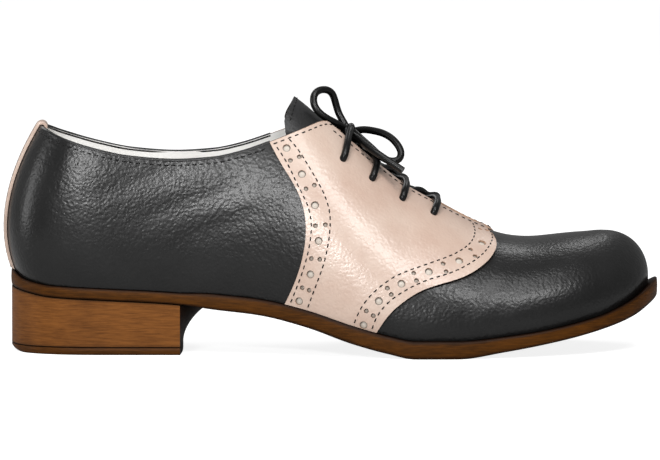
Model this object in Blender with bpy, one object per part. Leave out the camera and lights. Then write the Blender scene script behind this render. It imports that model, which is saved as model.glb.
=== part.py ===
"""Saddle shoe, right foot, about EU 41.

Metres, +X to the toe, -Y the outer (lateral) side, +Z up. The origin lies on the floor in the middle of the
heel's ground contact. The upper, the saddle halves, the heel strip and the tongue are shells around one lasted
form; the outsole, heel, top piece and insole share that form's feather line, where upper and sole meet.
"""

import math
from collections import namedtuple

import bmesh
import bpy
import numpy as np
from mathutils import Vector
from mathutils.bvhtree import BVHTree

for leftover in list(bpy.data.objects):
    bpy.data.objects.remove(leftover, do_unlink=True)

# Driving dimensions
LENGTH = 0.285  # back of the heel counter to the tip of the sole
BALL_WIDTH = 0.092  # across the ball, where the upper meets the sole
HEEL_HEIGHT = 0.024  # floor to the underside of the outsole, middle of the heel
TOE_SPRING = 0.023  # floor to the underside of the outsole, at its tip
BACK_HEIGHT = 0.0694  # collar at the back, above the heel seat
INSTEP_HEIGHT = 0.0795  # ridge of the instep above the outsole, at the joint
TOE_HEIGHT = 0.0228  # ridge of the toe box above the outsole
SOLE_THICKNESS = 0.007
SOLE_EDGE_ROUND = 0.0006
LEDGE = 0.0035  # how far the outsole stands out beyond the upper, round the forefoot
WALL = 0.002  # leather and lining of the upper
SADDLE_LEATHER = 0.0013
STRIP_LEATHER = 0.0012
STRIP_WIDTH = 0.0125
STRIP_FLAP = 0.003  # end of the heel strip, inside the collar
TONGUE_LEATHER = 0.0022
TONGUE_HALF_WIDTH = 0.021
TONGUE_TAPER = 0.8  # width at its sewn end, share of the free end's
INSOLE_THICKNESS = 0.0025
TOP_PIECE = 0.0032
HEEL_INSET = 0.0003  # heel stack inside the outline of the outsole
BREAST_LIP = 0.012  # how far the heel breast runs forward under the waist, on the centre line
CLEARANCE = 0.0003  # between pieces that touch
THROAT_HALF_REAR = 0.0115  # half the gap between the facings, at the collar
THROAT_HALF_FRONT = 0.0055
LACE = 0.0032  # diameter
EYELET_INSET = 0.0085  # lace hole from the edge of its facing
KNOT_RISE = -0.0004  # the knot above the level of the crossings
HEEL_ROUND = 0.0022  # the worn lower edge at the back of the heel

# Stations in shares of LENGTH
THROAT_FROM = 0.34  # end of the facings at the collar
THROAT_END = 0.584
SADDLE_SPAN = (0.22, 0.66)  # the part of the form that the saddle is cut from
BREAST_AT = 0.124
EYELETS = (0.512, 0.4635, 0.4175, 0.3735)
KNOT_AT = 0.3755
TONGUE_FROM = 0.29
TONGUE_TO = 0.63

# Numbers of facets
FORM_COLUMNS = 46  # from the back seam to the toe, on each side
FORM_ROWS = 12
HEEL_STATIONS = 14
HEEL_ACROSS = 8
THROAT_STEPS = 8
THROAT_CORNERS = 5  # in each quarter of the throat's round end
LACE_SIDES = 8

# Shapes that cut others
CUT_SPACING = 0.005
CUT_HALF = 0.08  # half their width
CUT_TOP = 0.2
CUT_BELOW = -0.01
THROAT_DEPTH = 0.3  # share of INSTEP_HEIGHT, above the outsole, that the throat is cut down to

SEAT = HEEL_HEIGHT + 0.69 * SOLE_THICKNESS  # top of the outsole at the middle of the heel

# The underside of the outsole and its thickness. heel is a share of HEEL_HEIGHT, spring of TOE_SPRING,
# thick of SOLE_THICKNESS.
Profile = namedtuple("Profile", "x heel spring thick")
SOLE_PROFILE = (
    Profile(-0.136, 1.180, 0.000, 1.10),
    Profile(-0.112, 1.115, 0.000, 0.72),
    Profile(-0.077, 1.046, 0.000, 0.69),
    Profile(0.000, 1.000, 0.000, 0.69),
    Profile(0.119, 0.921, 0.000, 0.70),
    Profile(0.175, 0.829, 0.000, 0.96),
    Profile(0.246, 0.738, 0.000, 0.99),
    Profile(0.316, 0.546, 0.000, 1.03),
    Profile(0.386, 0.265, 0.000, 1.09),
    Profile(0.442, 0.090, 0.000, 1.08),
    Profile(0.481, 0.000, 0.000, 1.09),
    Profile(0.547, 0.000, 0.000, 1.08),
    Profile(0.614, 0.000, 0.117, 0.93),
    Profile(0.691, 0.000, 0.283, 0.83),
    Profile(0.761, 0.000, 0.478, 0.84),
    Profile(0.814, 0.000, 0.696, 1.03),
    Profile(0.854, 0.000, 1.000, 1.21),
)

# Sections of the lasted form, from the back seam to the toe. Each side of a section is a Bezier curve from the
# feather line up to the collar or the ridge. x is a share of LENGTH, lateral and medial are shares of
# BALL_WIDTH, and the ledge is a share of LEDGE.
Feather = namedtuple("Feather", "x lateral medial ledge")
FEATHER = (
    Feather(-0.1295, 0.000, 0.000, 0.50),
    Feather(-0.107, -0.207, 0.207, 0.45),
    Feather(-0.053, -0.300, 0.298, 0.40),
    Feather(0.032, -0.322, 0.315, 0.40),
    Feather(0.116, -0.322, 0.293, 0.45),
    Feather(0.204, -0.341, 0.267, 0.60),
    Feather(0.295, -0.404, 0.293, 0.80),
    Feather(0.393, -0.483, 0.391, 0.95),
    Feather(0.498, -0.513, 0.470, 1.00),
    Feather(0.589, -0.493, 0.491, 1.00),
    Feather(0.681, -0.432, 0.470, 1.00),
    Feather(0.758, -0.325, 0.398, 1.00),
    Feather(0.816, -0.155, 0.268, 1.05),
    Feather(0.839, 0.065, 0.065, 1.20),
)

# The two handles of each curve. rise is a share of the section's whole height.
Handle = namedtuple("Handle", "x lateral medial rise")
LOWER_HANDLES = (
    Handle(-0.1595, 0.000, 0.000, 0.29),
    Handle(-0.133, -0.272, 0.272, 0.30),
    Handle(-0.067, -0.361, 0.357, 0.29),
    Handle(0.028, -0.376, 0.370, 0.28),
    Handle(0.116, -0.374, 0.350, 0.27),
    Handle(0.204, -0.393, 0.337, 0.29),
    Handle(0.296, -0.454, 0.370, 0.34),
    Handle(0.395, -0.533, 0.457, 0.35),
    Handle(0.500, -0.565, 0.533, 0.33),
    Handle(0.593, -0.545, 0.552, 0.38),
    Handle(0.688, -0.482, 0.520, 0.44),
    Handle(0.770, -0.370, 0.440, 0.50),
    Handle(0.827, -0.183, 0.296, 0.51),
    Handle(0.844, 0.065, 0.065, 0.50),
)
UPPER_HANDLES = (
    Handle(-0.1335, 0.000, 0.000, 0.66),
    Handle(-0.1105, -0.205, 0.205, 0.67),
    Handle(-0.056, -0.300, 0.298, 0.68),
    Handle(0.028, -0.309, 0.304, 0.68),
    Handle(0.119, -0.306, 0.298, 0.70),
    Handle(0.214, -0.302, 0.283, 0.82),
    Handle(0.281, -0.272, 0.239, 0.99),
    Handle(0.381, -0.272, 0.239, 1.00),
    Handle(0.491, -0.293, 0.293, 1.00),
    Handle(0.596, -0.330, 0.362, 1.00),
    Handle(0.674, -0.300, 0.362, 1.00),
    Handle(0.739, -0.200, 0.312, 1.01),
    Handle(0.789, -0.050, 0.195, 1.02),
    Handle(0.821, 0.065, 0.065, 0.96),
)

# The upper ends of the curves: round the collar the two sides stand apart, and from the seventh section on
# they meet on the ridge. back, instep and toe are shares of the three named heights.
Top = namedtuple("Top", "x lateral medial back instep toe")
TOPS = (
    Top(-0.074, 0.000, 0.000, 1.02, 0.000, 0.00),
    Top(-0.063, -0.141, 0.141, 1.06, 0.000, 0.00),
    Top(-0.025, -0.228, 0.228, 1.06, 0.000, 0.00),
    Top(0.039, -0.250, 0.246, 1.00, 0.000, 0.00),
    Top(0.130, -0.234, 0.228, 1.05, 0.000, 0.00),
    Top(0.225, -0.141, 0.136, 0.45, 0.680, 0.00),
    Top(0.281, 0.000, 0.000, 0.00, 1.178, 0.00),
    Top(0.379, 0.005, 0.005, 0.00, 1.000, 0.00),
    Top(0.491, 0.011, 0.011, 0.00, 0.750, 0.00),
    Top(0.596, 0.022, 0.022, 0.00, 0.543, 0.00),
    Top(0.670, 0.035, 0.035, 0.00, 0.250, 0.75),
    Top(0.730, 0.048, 0.048, 0.00, 0.000, 1.48),
    Top(0.767, 0.059, 0.059, 0.00, 0.000, 1.21),
    Top(0.779, 0.063, 0.063, 0.00, 0.000, 1.00),
)
RIDGE_SECTION = 6

# Side view of the topline. x is a share of LENGTH, height of BACK_HEIGHT above the heel seat.
Edge = namedtuple("Edge", "x height")
COLLAR = (
    Edge(-0.175, 1.120),
    Edge(-0.095, 1.000),
    Edge(-0.058, 0.932),
    Edge(0.003, 0.857),
    Edge(0.049, 0.820),
    Edge(0.116, 0.801),
    Edge(0.175, 0.816),
    Edge(0.218, 0.855),
    Edge(0.263, 0.919),
    Edge(0.326, 1.017),
    Edge(0.340, 1.032),
    Edge(0.353, 1.023),
    Edge(0.362, 1.000),
)

# Side view of the saddle's rear and front edges, from the top down. height is a share of INSTEP_HEIGHT above
# the outsole at that place.
SADDLE_REAR = (
    Edge(0.2600, 0.862),
    Edge(0.2795, 0.752),
    Edge(0.2985, 0.659),
    Edge(0.3130, 0.535),
    Edge(0.3155, 0.425),
    Edge(0.3100, 0.277),
    Edge(0.2985, 0.136),
    Edge(0.2830, 0.000),
)
SADDLE_FRONT = (
    Edge(0.5680, 0.680),
    Edge(0.5835, 0.594),
    Edge(0.5970, 0.546),
    Edge(0.6060, 0.493),
    Edge(0.6005, 0.444),
    Edge(0.5840, 0.395),
    Edge(0.5560, 0.348),
    Edge(0.5190, 0.309),
    Edge(0.4910, 0.275),
    Edge(0.4635, 0.208),
    Edge(0.4450, 0.135),
    Edge(0.4220, 0.000),
)

# Side view of the tongue's free end, from the ridge down.
TONGUE_END = (
    Edge(0.3030, 1.300),
    Edge(0.2960, 1.110),
    Edge(0.2860, 0.940),
    Edge(0.2800, 0.800),
)

# Points that the free lengths of lace pass through, chosen by hand, in millimetres.
REAR_LOOP = (
    (107.8, 0.5, 100.4),
    (105.6, 2.5, 105.2),
    (103.2, 3.0, 109.2),
    (101.2, 2.0, 112.2),
    (98.0, -0.5, 113.6),
    (94.8, -3.0, 112.2),
    (93.3, -5.0, 108.6),
    (94.8, -6.5, 104.6),
    (98.6, -6.5, 101.4),
    (102.2, -5.2, 99.6),
    (105.6, -2.8, 98.0),
)
FRONT_LOOP = (
    (113.2, 4.6, 97.6),
    (118.0, 1.2, 97.0),
    (122.4, -3.4, 95.4),
    (126.6, -8.2, 92.6),
    (130.0, -12.0, 88.9),
    (130.8, -14.0, 85.9),
    (128.4, -14.8, 84.1),
    (124.6, -14.4, 84.6),
    (121.0, -12.6, 87.2),
    (119.0, -9.2, 91.4),
    (116.6, -4.8, 95.2),
    (113.8, -0.6, 98.2),
)
LATERAL_END = (
    (112.2, -4.0, 94.6),
    (113.8, -8.4, 91.8),
    (115.4, -12.6, 88.0),
    (120.4, -17.2, 84.6),
    (126.4, -19.6, 81.4),
    (132.0, -21.4, 78.4),
)
MEDIAL_END = (
    (112.2, 4.8, 94.4),
    (113.8, 9.4, 91.6),
    (115.6, 13.6, 88.0),
    (118.6, 18.6, 83.6),
    (121.6, 23.0, 78.6),
    (124.0, 27.0, 73.6),
)

MATERIALS = {
    # name: (red, green, blue, roughness)
    "black_leather": (0.028, 0.027, 0.027, 0.42),
    "cream_leather": (0.82, 0.64, 0.53, 0.45),
    "sole_leather": (0.155, 0.058, 0.018, 0.5),
    "heel_stack": (0.195, 0.075, 0.022, 0.5),
    "top_piece": (0.065, 0.023, 0.007, 0.6),
    "insole_leather": (0.75, 0.68, 0.58, 0.6),
    "lace_cord": (0.012, 0.012, 0.013, 0.5),
}


def material(name):
    """The Principled material of this name, made once."""
    made = bpy.data.materials.get(name)
    if made:
        return made
    red, green, blue, roughness = MATERIALS[name]
    made = bpy.data.materials.new(name)
    made.use_nodes = True
    shader = made.node_tree.nodes["Principled BSDF"]
    shader.inputs["Base Color"].default_value = (red, green, blue, 1.0)
    shader.inputs["Roughness"].default_value = roughness
    return made


# Interpolation of the tables


def spline(knots, values, flat_ends):
    """A smooth curve through the values. Its ends are level, or free where flat_ends is false."""
    x = np.array(knots)
    y = np.array(values)
    gaps = np.diff(x)
    rises = np.diff(y) / gaps
    count = len(x)
    matrix = np.zeros((count, count))
    right = np.zeros(count)
    for i in range(1, count - 1):
        matrix[i, i - 1] = gaps[i]
        matrix[i, i] = 2 * (gaps[i - 1] + gaps[i])
        matrix[i, i + 1] = gaps[i - 1]
        right[i] = 3 * (gaps[i] * rises[i - 1] + gaps[i - 1] * rises[i])
    matrix[0, 0] = matrix[-1, -1] = 1
    if not flat_ends:
        matrix[0, 1] = matrix[-1, -2] = 0.5
        right[0] = 1.5 * rises[0]
        right[-1] = 1.5 * rises[-1]
    return hermite(x, y, np.linalg.solve(matrix, right))


def monotone(knots, values):
    """A curve through the values that never swings past them, and is level where two of them are equal."""
    x = np.array(knots)
    y = np.array(values)
    gaps = np.diff(x)
    rises = np.diff(y) / gaps
    slopes = np.zeros(len(x))
    slopes[0] = rises[0]
    slopes[-1] = rises[-1]
    for i in range(1, len(x) - 1):
        if rises[i - 1] * rises[i] > 0:
            before = 2 * gaps[i] + gaps[i - 1]
            after = gaps[i] + 2 * gaps[i - 1]
            slopes[i] = (before + after) / (before / rises[i - 1] + after / rises[i])
    return hermite(x, y, slopes)


def hermite(x, y, slopes):
    """The piecewise cubic with these values and slopes, carried on straight past its ends."""

    def at(value):
        if value <= x[0]:
            return float(y[0] + slopes[0] * (value - x[0]))
        if value >= x[-1]:
            return float(y[-1] + slopes[-1] * (value - x[-1]))
        i = int(np.searchsorted(x, value, side="right")) - 1
        gap = x[i + 1] - x[i]
        s = (value - x[i]) / gap
        near = y[i] * (1 + 2 * s) * (1 - s) ** 2 + slopes[i] * gap * s * (1 - s) ** 2
        far = y[i + 1] * (3 - 2 * s) * s**2 + slopes[i + 1] * gap * (s - 1) * s**2
        return float(near + far)

    return at


def column(rows, name):
    return [getattr(row, name) for row in rows]


# The sole's two height curves, in metres over x in metres

PROFILE_X = [LENGTH * share for share in column(SOLE_PROFILE, "x")]
sole_bottom = monotone(
    PROFILE_X, [HEEL_HEIGHT * row.heel + TOE_SPRING * row.spring for row in SOLE_PROFILE]
)
sole_gauge = monotone(PROFILE_X, [SOLE_THICKNESS * row.thick for row in SOLE_PROFILE])


def sole_top(x):
    return sole_bottom(x) + sole_gauge(x)


# The lasted form. Every curve runs over one parameter, the way along the feather line from 0 to 1.


def feather_knots():
    """Shares of the way along the feather line at which the sections stand."""
    way = [0.0]
    for here, there in zip(FEATHER, FEATHER[1:]):
        forward = LENGTH * (there.x - here.x)
        lateral = math.hypot(forward, BALL_WIDTH * (there.lateral - here.lateral))
        medial = math.hypot(forward, BALL_WIDTH * (there.medial - here.medial))
        way.append(way[-1] + (lateral + medial) / 2)
    return [distance / way[-1] for distance in way]


KNOTS = feather_knots()
RIDGE_FROM = KNOTS[RIDGE_SECTION]
SIDES = ("lateral", "medial")


def curves(rows, level, across):
    """One curve for each column of a table: level names keep level ends, across names are sideways."""
    made = {name: spline(KNOTS, column(rows, name), True) for name in level}
    made.update({name: across(KNOTS, column(rows, name)) for name in SIDES})
    return made


def free(knots, values):
    return spline(knots, values, False)


feather = curves(FEATHER, ("x", "ledge"), free)
lower_handle = curves(LOWER_HANDLES, ("x", "rise"), free)
upper_handle = curves(UPPER_HANDLES, ("x", "rise"), free)
top_end = curves(TOPS, ("x", "back", "instep", "toe"), monotone)


def form_point(along, up, side):
    """A point of the form's outer face: along from back seam to toe, up from feather line to top."""
    x = LENGTH * feather["x"](along)
    foot = sole_top(x) + CLEARANCE
    height = BACK_HEIGHT * top_end["back"](along)
    height += INSTEP_HEIGHT * top_end["instep"](along)
    height += TOE_HEIGHT * top_end["toe"](along)
    points = [Vector((x, BALL_WIDTH * feather[side](along), foot))]
    for handle in (lower_handle, upper_handle):
        points.append(
            Vector(
                (
                    LENGTH * handle["x"](along),
                    BALL_WIDTH * handle[side](along),
                    foot + height * handle["rise"](along),
                )
            )
        )
    points.append(Vector((LENGTH * top_end["x"](along), BALL_WIDTH * top_end[side](along), foot + height)))
    down = 1 - up
    weights = (down**3, 3 * up * down**2, 3 * up**2 * down, up**3)
    return sum((weight * point for weight, point in zip(weights, points)), Vector())


def form_stations():
    """Way of each column of facets, closer together round the heel and the toe, with one on RIDGE_FROM."""
    crowding = 0.3
    way = []
    for i in range(FORM_COLUMNS + 1):
        share = i / FORM_COLUMNS
        way.append(share - crowding * math.sin(2 * math.pi * share) / (2 * math.pi))
    nearest = min(range(len(way)), key=lambda i: abs(way[i] - RIDGE_FROM))
    way[nearest] = RIDGE_FROM
    return way, nearest


STATIONS, RIDGE_COLUMN = form_stations()
RING = 2 * FORM_COLUMNS  # columns all the way round, the lateral side first


def form_index(c, row):
    """Number of the grid's point in column c of the ring. The two sides share the points of the ridge."""
    c %= RING
    if row == FORM_ROWS and RIDGE_COLUMN <= c <= RING - RIDGE_COLUMN:
        c = min(c, RING - c)
    return row * RING + c


def form_grid():
    """The grid's points and the form's outward normal at each of them."""
    points = {}
    for c in range(RING):
        side = "lateral" if c <= FORM_COLUMNS else "medial"
        along = STATIONS[c if c <= FORM_COLUMNS else RING - c]
        for row in range(FORM_ROWS + 1):
            points.setdefault(form_index(c, row), form_point(along, row / FORM_ROWS, side))
    normals = {key: Vector() for key in points}
    for face in form_faces(0, RING, 0, FORM_ROWS):
        corners = [points[key] for key in face]
        normal = (corners[2] - corners[0]).cross(corners[-1] - corners[1])
        for key in face:
            normals[key] += normal
    for normal in normals.values():
        normal.normalize()
    return points, normals


def form_faces(first, last, low, high):
    """Faces of the grid between two columns and two rows, facing out."""
    faces = []
    for c in range(first, last):
        for row in range(low, high):
            corners = [
                form_index(c, row),
                form_index(c + 1, row),
                form_index(c + 1, row + 1),
                form_index(c, row + 1),
            ]
            faces.append(list(dict.fromkeys(corners)))
    return [face for face in faces if len(face) > 2]


FORM_POINTS, FORM_NORMALS = form_grid()


def form_tree():
    keys = sorted(FORM_POINTS)
    order = {key: i for i, key in enumerate(keys)}
    faces = [[order[key] for key in face] for face in form_faces(0, RING, 0, FORM_ROWS)]
    return BVHTree.FromPolygons([FORM_POINTS[key] for key in keys], faces)


FORM_TREE = form_tree()
OUTSIDE = 1.0  # start of a ray well outside the shoe


def over_form(x, y, lift):
    """The point above (x, y) that stands off the form's upper face by lift."""
    place, normal, _, _ = FORM_TREE.ray_cast(Vector((x, y, OUTSIDE)), Vector((0, 0, -1)))
    return place + normal.normalized() * lift


def behind_form(y, z):
    """The point of the form's back at (y, z), with its outward normal."""
    place, normal, _, _ = FORM_TREE.ray_cast(Vector((-OUTSIDE, y, z)), Vector((1, 0, 0)))
    return place, normal.normalized()


# Meshes


def add_object(name, mesh, finish):
    mesh.materials.append(material(finish))
    made = bpy.data.objects.new(name, mesh)
    bpy.context.scene.collection.objects.link(made)
    return made


def mesh_from(name, points, faces):
    """A closed mesh, its faces turned outward and shaded smooth between sharp edges."""
    shape = bmesh.new()
    corners = [shape.verts.new(point) for point in points]
    for face in faces:
        shape.faces.new([corners[i] for i in face])
    bmesh.ops.recalc_face_normals(shape, faces=shape.faces)
    mesh = bpy.data.meshes.new(name)
    shape.to_mesh(mesh)
    shape.free()
    mesh.shade_smooth()
    mesh.set_sharp_from_angle(angle=math.radians(35))
    return mesh


def shell_mesh(name, near, far, ranges=((0, RING),), low=0):
    """The leather between two offsets of the form, over ranges of its columns, from row low up.

    Where it reaches the feather line, its edge follows the top of the outsole at the clearance.
    """
    outer = [face for first, last in ranges for face in form_faces(first, last, low, FORM_ROWS)]
    keys = sorted({key for face in outer for key in face})
    points = []
    for offset in (far, near):
        for key in keys:
            point = FORM_POINTS[key] + FORM_NORMALS[key] * offset
            if key < RING:
                point.z = sole_top(point.x) + CLEARANCE
            points.append(point)
    order = {key: i for i, key in enumerate(keys)}
    count = len(keys)
    faces = [[order[key] for key in face] for face in outer]
    edges = dict.fromkeys((a, b) for face in faces for a, b in zip(face, face[1:] + face[:1]))
    rims = [[b, a, a + count, b + count] for a, b in edges if (b, a) not in edges]
    inner = [[i + count for i in reversed(face)] for face in faces]
    return mesh_from(name, points, faces + inner + rims)


def slab_mesh(name, bottom, rings, top):
    """A closed mesh from a bottom grid up through rings to a top grid.

    A grid is a list of rows from back to front, each from the lateral to the medial edge. A row of one point
    is a pointed end. A ring is the same boundary at a level between the two grids.
    """

    def boundary(grid):
        front = grid[-1][1:]
        medial = [row[-1] for row in reversed(grid[:-1]) if len(row) > 1]
        back = grid[0][-2:0:-1]
        return [row[0] for row in grid] + front + medial + back

    points = []
    faces = []

    def number(grid):
        rows = []
        for row in grid:
            rows.append([len(points) + i for i in range(len(row))])
            points.extend(row)
        for here, there in zip(rows, rows[1:]):
            for j in range(max(len(here), len(there)) - 1):
                corners = [here[min(j, len(here) - 1)], there[min(j, len(there) - 1)]]
                corners += [there[min(j + 1, len(there) - 1)], here[min(j + 1, len(here) - 1)]]
                faces.append(list(dict.fromkeys(corners)))
        return boundary(rows)

    loops = [number(bottom)]
    for ring in rings:
        loop = [len(points) + i for i in range(len(boundary(ring)))]
        points.extend(boundary(ring))
        loops.append(loop)
    loops.append(number(top))
    for lower, upper in zip(loops, loops[1:]):
        count = len(lower)
        for i in range(count):
            after = (i + 1) % count
            faces.append([lower[i], lower[after], upper[after], upper[i]])
    return mesh_from(name, points, faces)


def prism_mesh(name, outline, direction, start, end):
    """A prism on a closed outline of (a, b) pairs, along y over (x, z) or along z over (x, y)."""
    points = []
    for way in (start, end):
        for a, b in outline:
            points.append((a, way, b) if direction == "y" else (a, b, way))
    count = len(outline)
    faces = [list(range(count)), list(range(2 * count - 1, count - 1, -1))]
    faces += [[i, (i + 1) % count, (i + 1) % count + count, i + count] for i in range(count)]
    return mesh_from(name, points, faces)


def tool_object(name, mesh):
    """A shape that cuts others and is no part of the shoe."""
    made = bpy.data.objects.new(name, mesh)
    bpy.context.scene.collection.objects.link(made)
    made.hide_render = True
    made.display_type = "WIRE"
    return made


def boolean(target, operation, other):
    cut = target.modifiers.new(other.name, "BOOLEAN")
    cut.operation = operation
    cut.solver = "EXACT"
    cut.object = other


def rounded(places, spacing):
    """Points about spacing apart on a smooth curve through places, which are vectors."""
    way = [0.0]
    for here, there in zip(places, places[1:]):
        way.append(way[-1] + (there - here).length)
    axes = [free(way, [place[i] for place in places]) for i in range(len(places[0]))]
    steps = max(2, round(way[-1] / spacing))
    return [Vector([axis(way[-1] * i / steps) for axis in axes]) for i in range(steps + 1)]


# Cutters


def side_view(edge, base):
    """Places in the side view for a table of edges, with heights above base."""
    return [Vector((LENGTH * row.x, base(LENGTH * row.x, row.height))) for row in edge]


def over_seat(_, height):
    return SEAT + BACK_HEIGHT * height


def over_sole(x, height):
    return sole_top(x) + INSTEP_HEIGHT * height


def opening_cutter():
    """Everything above the topline, joined with the gap between the facings."""
    cutter = collar_cutter()
    boolean(cutter, "UNION", throat_cutter())
    return cutter


def collar_cutter():
    """Everything above the topline."""
    line = rounded(side_view(COLLAR, over_seat), CUT_SPACING)
    outline = [(p.x, p.y) for p in line] + [(line[-1].x, CUT_TOP), (line[0].x, CUT_TOP)]
    return tool_object("collar_cutter", prism_mesh("collar_cutter", outline, "y", -CUT_HALF, CUT_HALF))


def ridge_y(x):
    """Sideways place of the ridge at x."""
    ridge = TOPS[RIDGE_SECTION:]
    return BALL_WIDTH * float(np.interp(x / LENGTH, column(ridge, "x"), column(ridge, "lateral")))


def throat_half(x):
    """Half the gap between the facings at x."""
    rear = LENGTH * THROAT_FROM
    front = LENGTH * THROAT_END - THROAT_HALF_FRONT
    share = min(1.0, max(0.0, (x - rear) / (front - rear)))
    return THROAT_HALF_REAR + (THROAT_HALF_FRONT - THROAT_HALF_REAR) * share


def throat_cutter():
    """The gap between the facings, from the collar to its round front end."""
    start = LENGTH * SADDLE_SPAN[0]
    round_from = LENGTH * THROAT_END - THROAT_HALF_FRONT
    lateral = []
    for i in range(THROAT_STEPS + 1):
        x = start + (round_from - start) * i / THROAT_STEPS
        lateral.append((x, -throat_half(x)))
    for i in range(THROAT_CORNERS):
        angle = math.radians(90 * (i + 0.5) / THROAT_CORNERS)
        reach = THROAT_HALF_FRONT
        lateral.append((round_from + reach * math.sin(angle), -reach * math.cos(angle)))
    outline = lateral + [(x, -y) for x, y in reversed(lateral)]
    outline = [(x, y + ridge_y(x)) for x, y in outline]
    low = sole_top(LENGTH * THROAT_END) + THROAT_DEPTH * INSTEP_HEIGHT
    return tool_object("throat_cutter", prism_mesh("throat_cutter", outline, "z", low, CUT_TOP))


def saddle_cutter(opening):
    """Side view of the saddle, through the whole shoe, less the opening."""
    rear = rounded(side_view(SADDLE_REAR, over_sole), CUT_SPACING)
    front = rounded(side_view(SADDLE_FRONT, over_sole), CUT_SPACING)
    outline = [(rear[0].x, CUT_TOP)] + [(p.x, p.y) for p in rear] + [(rear[-1].x, CUT_BELOW)]
    outline += [(front[-1].x, CUT_BELOW)] + [(p.x, p.y) for p in reversed(front)]
    outline.append((front[0].x, CUT_TOP))
    mesh = prism_mesh("saddle_cutter", outline, "y", -CUT_HALF, CUT_HALF)
    cutter = tool_object("saddle_cutter", mesh)
    boolean(cutter, "DIFFERENCE", opening)
    return cutter


def tongue_cutters():
    """The side view and the plan view of what is kept of the tongue's shell."""
    end = rounded(side_view(TONGUE_END, over_sole), CUT_SPACING)
    front = LENGTH * TONGUE_TO
    below = sole_top(front) + THROAT_DEPTH * INSTEP_HEIGHT
    outline = [(p.x, p.y) for p in end] + [(end[-1].x, below), (front, below), (front, end[0].y)]
    side = tool_object("tongue_side", prism_mesh("tongue_side", outline, "y", -CUT_HALF, CUT_HALF))
    rear = LENGTH * TONGUE_FROM - TONGUE_HALF_WIDTH
    past = front + CUT_SPACING
    half = TONGUE_TAPER * TONGUE_HALF_WIDTH
    shift = ridge_y(front)
    plan = [(rear, -TONGUE_HALF_WIDTH), (past, shift - half), (past, shift + half), (rear, TONGUE_HALF_WIDTH)]
    return side, tool_object("tongue_plan", prism_mesh("tongue_plan", plan, "z", CUT_BELOW, CUT_TOP))


# Sole and heel


def outline_point(along, side, beyond):
    """A point of the feather line, moved outward in plan by beyond."""
    step = 0.002
    before = max(0.0, along - step)
    after = min(1.0, along + step)
    span = [
        Vector((LENGTH * feather["x"](t), BALL_WIDTH * feather[side](t))) for t in (before, along, after)
    ]
    run = span[2] - span[0]
    if along == 0.0:
        normal = Vector((-1, 0))
    elif along == 1.0:
        normal = Vector((1, 0))
    else:
        normal = Vector((run.y, -run.x)) if side == "lateral" else Vector((-run.y, run.x))
        normal.normalize()
    return span[1] + normal * beyond


def sole_plan(along, side, inset):
    return outline_point(along, side, LEDGE * feather["ledge"](along) - inset)


def crossed(lateral, medial, steps, height):
    """A row of points from one side to the other, at the heights of their own x."""
    row = []
    for j in range(steps + 1):
        place = lateral.lerp(medial, j / steps)
        row.append(Vector((place.x, place.y, height(place.x))))
    return row


def full_grid(plan, height, steps):
    """A grid over a whole sole: plan gives a side's point at a way along, height its height at an x."""
    grid = []
    for along in STATIONS:
        lateral = plan(along, "lateral")
        if along in (0.0, 1.0):
            grid.append([Vector((lateral.x, lateral.y, height(lateral.x)))])
        else:
            grid.append(crossed(lateral, plan(along, "medial"), steps, height))
    return grid


def outsole():
    """Sole leather from heel to toe, with rounded edges."""

    def level(inset, height):
        return full_grid(lambda along, side: sole_plan(along, side, inset), height, 2)

    bevel = SOLE_EDGE_ROUND
    bottom = level(bevel, sole_bottom)
    rings = [
        level(0.3 * bevel, lambda x: sole_bottom(x) + bevel),
        level(0.0, lambda x: sole_bottom(x) + sole_gauge(x) / 2),
        level(0.3 * bevel, lambda x: sole_top(x) - bevel),
    ]
    top = level(bevel, sole_top)
    return add_object("outsole", slab_mesh("outsole", bottom, rings, top), "sole_leather")


def insole():
    """The insole board and sock, inside the upper's wall."""
    inset = WALL + 2 * CLEARANCE

    def plan(along, side):
        return outline_point(along, side, -inset)

    bottom = full_grid(plan, lambda x: sole_top(x) + CLEARANCE, 2)
    top = full_grid(plan, lambda x: sole_top(x) + CLEARANCE + INSOLE_THICKNESS, 2)
    return add_object("insole", slab_mesh("insole", bottom, [], top), "insole_leather")


def breast_way():
    """Way along the feather line at which the heel breast meets the outline."""
    low, high = 0.0, 0.5
    for _ in range(40):
        middle = (low + high) / 2
        if feather["x"](middle) < BREAST_AT:
            low = middle
        else:
            high = middle
    return low


BREAST_WAY = breast_way()


def heel_grid(height, inset, level):
    """One level of the heel stack. level is its share of the heel's height, which shapes the breast."""
    lip = BREAST_LIP * (0.08 + 0.92 * level**1.8)
    grid = []
    for i in range(HEEL_STATIONS + 1):
        share = math.sin(math.pi / 2 * i / HEEL_STATIONS) ** 2
        along = BREAST_WAY * (0.35 * i / HEEL_STATIONS + 0.65 * share)
        lateral = sole_plan(along, "lateral", inset)
        if i == 0:
            grid.append([Vector((lateral.x, lateral.y, height(lateral.x)))])
            continue
        medial = sole_plan(along, "medial", inset)
        row = []
        for j in range(HEEL_ACROSS + 1):
            place = lateral.lerp(medial, j / HEEL_ACROSS)
            across = 2 * j / HEEL_ACROSS - 1
            x = place.x + lip * (1 - across**2) * (i / HEEL_STATIONS) ** 3
            row.append(Vector((x, place.y, height(x))))
        grid.append(row)
    return grid


def heel_lift(x):
    """How far the underside of the heel is rounded up at x, at the very back."""
    end = LENGTH * SOLE_PROFILE[0].x
    start = LENGTH * SOLE_PROFILE[1].x
    share = max(0.0, (x - start) / (end - start))
    return HEEL_ROUND * share**2


def heel_block():
    """Stacked leather between the outsole and the top piece."""
    low = TOP_PIECE + CLEARANCE
    levels = (0.0, 0.25, 0.5, 0.75, 1.0)

    def height(level):
        return lambda x: low + (sole_bottom(x) - CLEARANCE - low) * level

    grids = [heel_grid(height(level), HEEL_INSET, level) for level in levels]
    return add_object("heel_block", slab_mesh("heel_block", grids[0], grids[1:-1], grids[-1]), "heel_stack")


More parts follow.
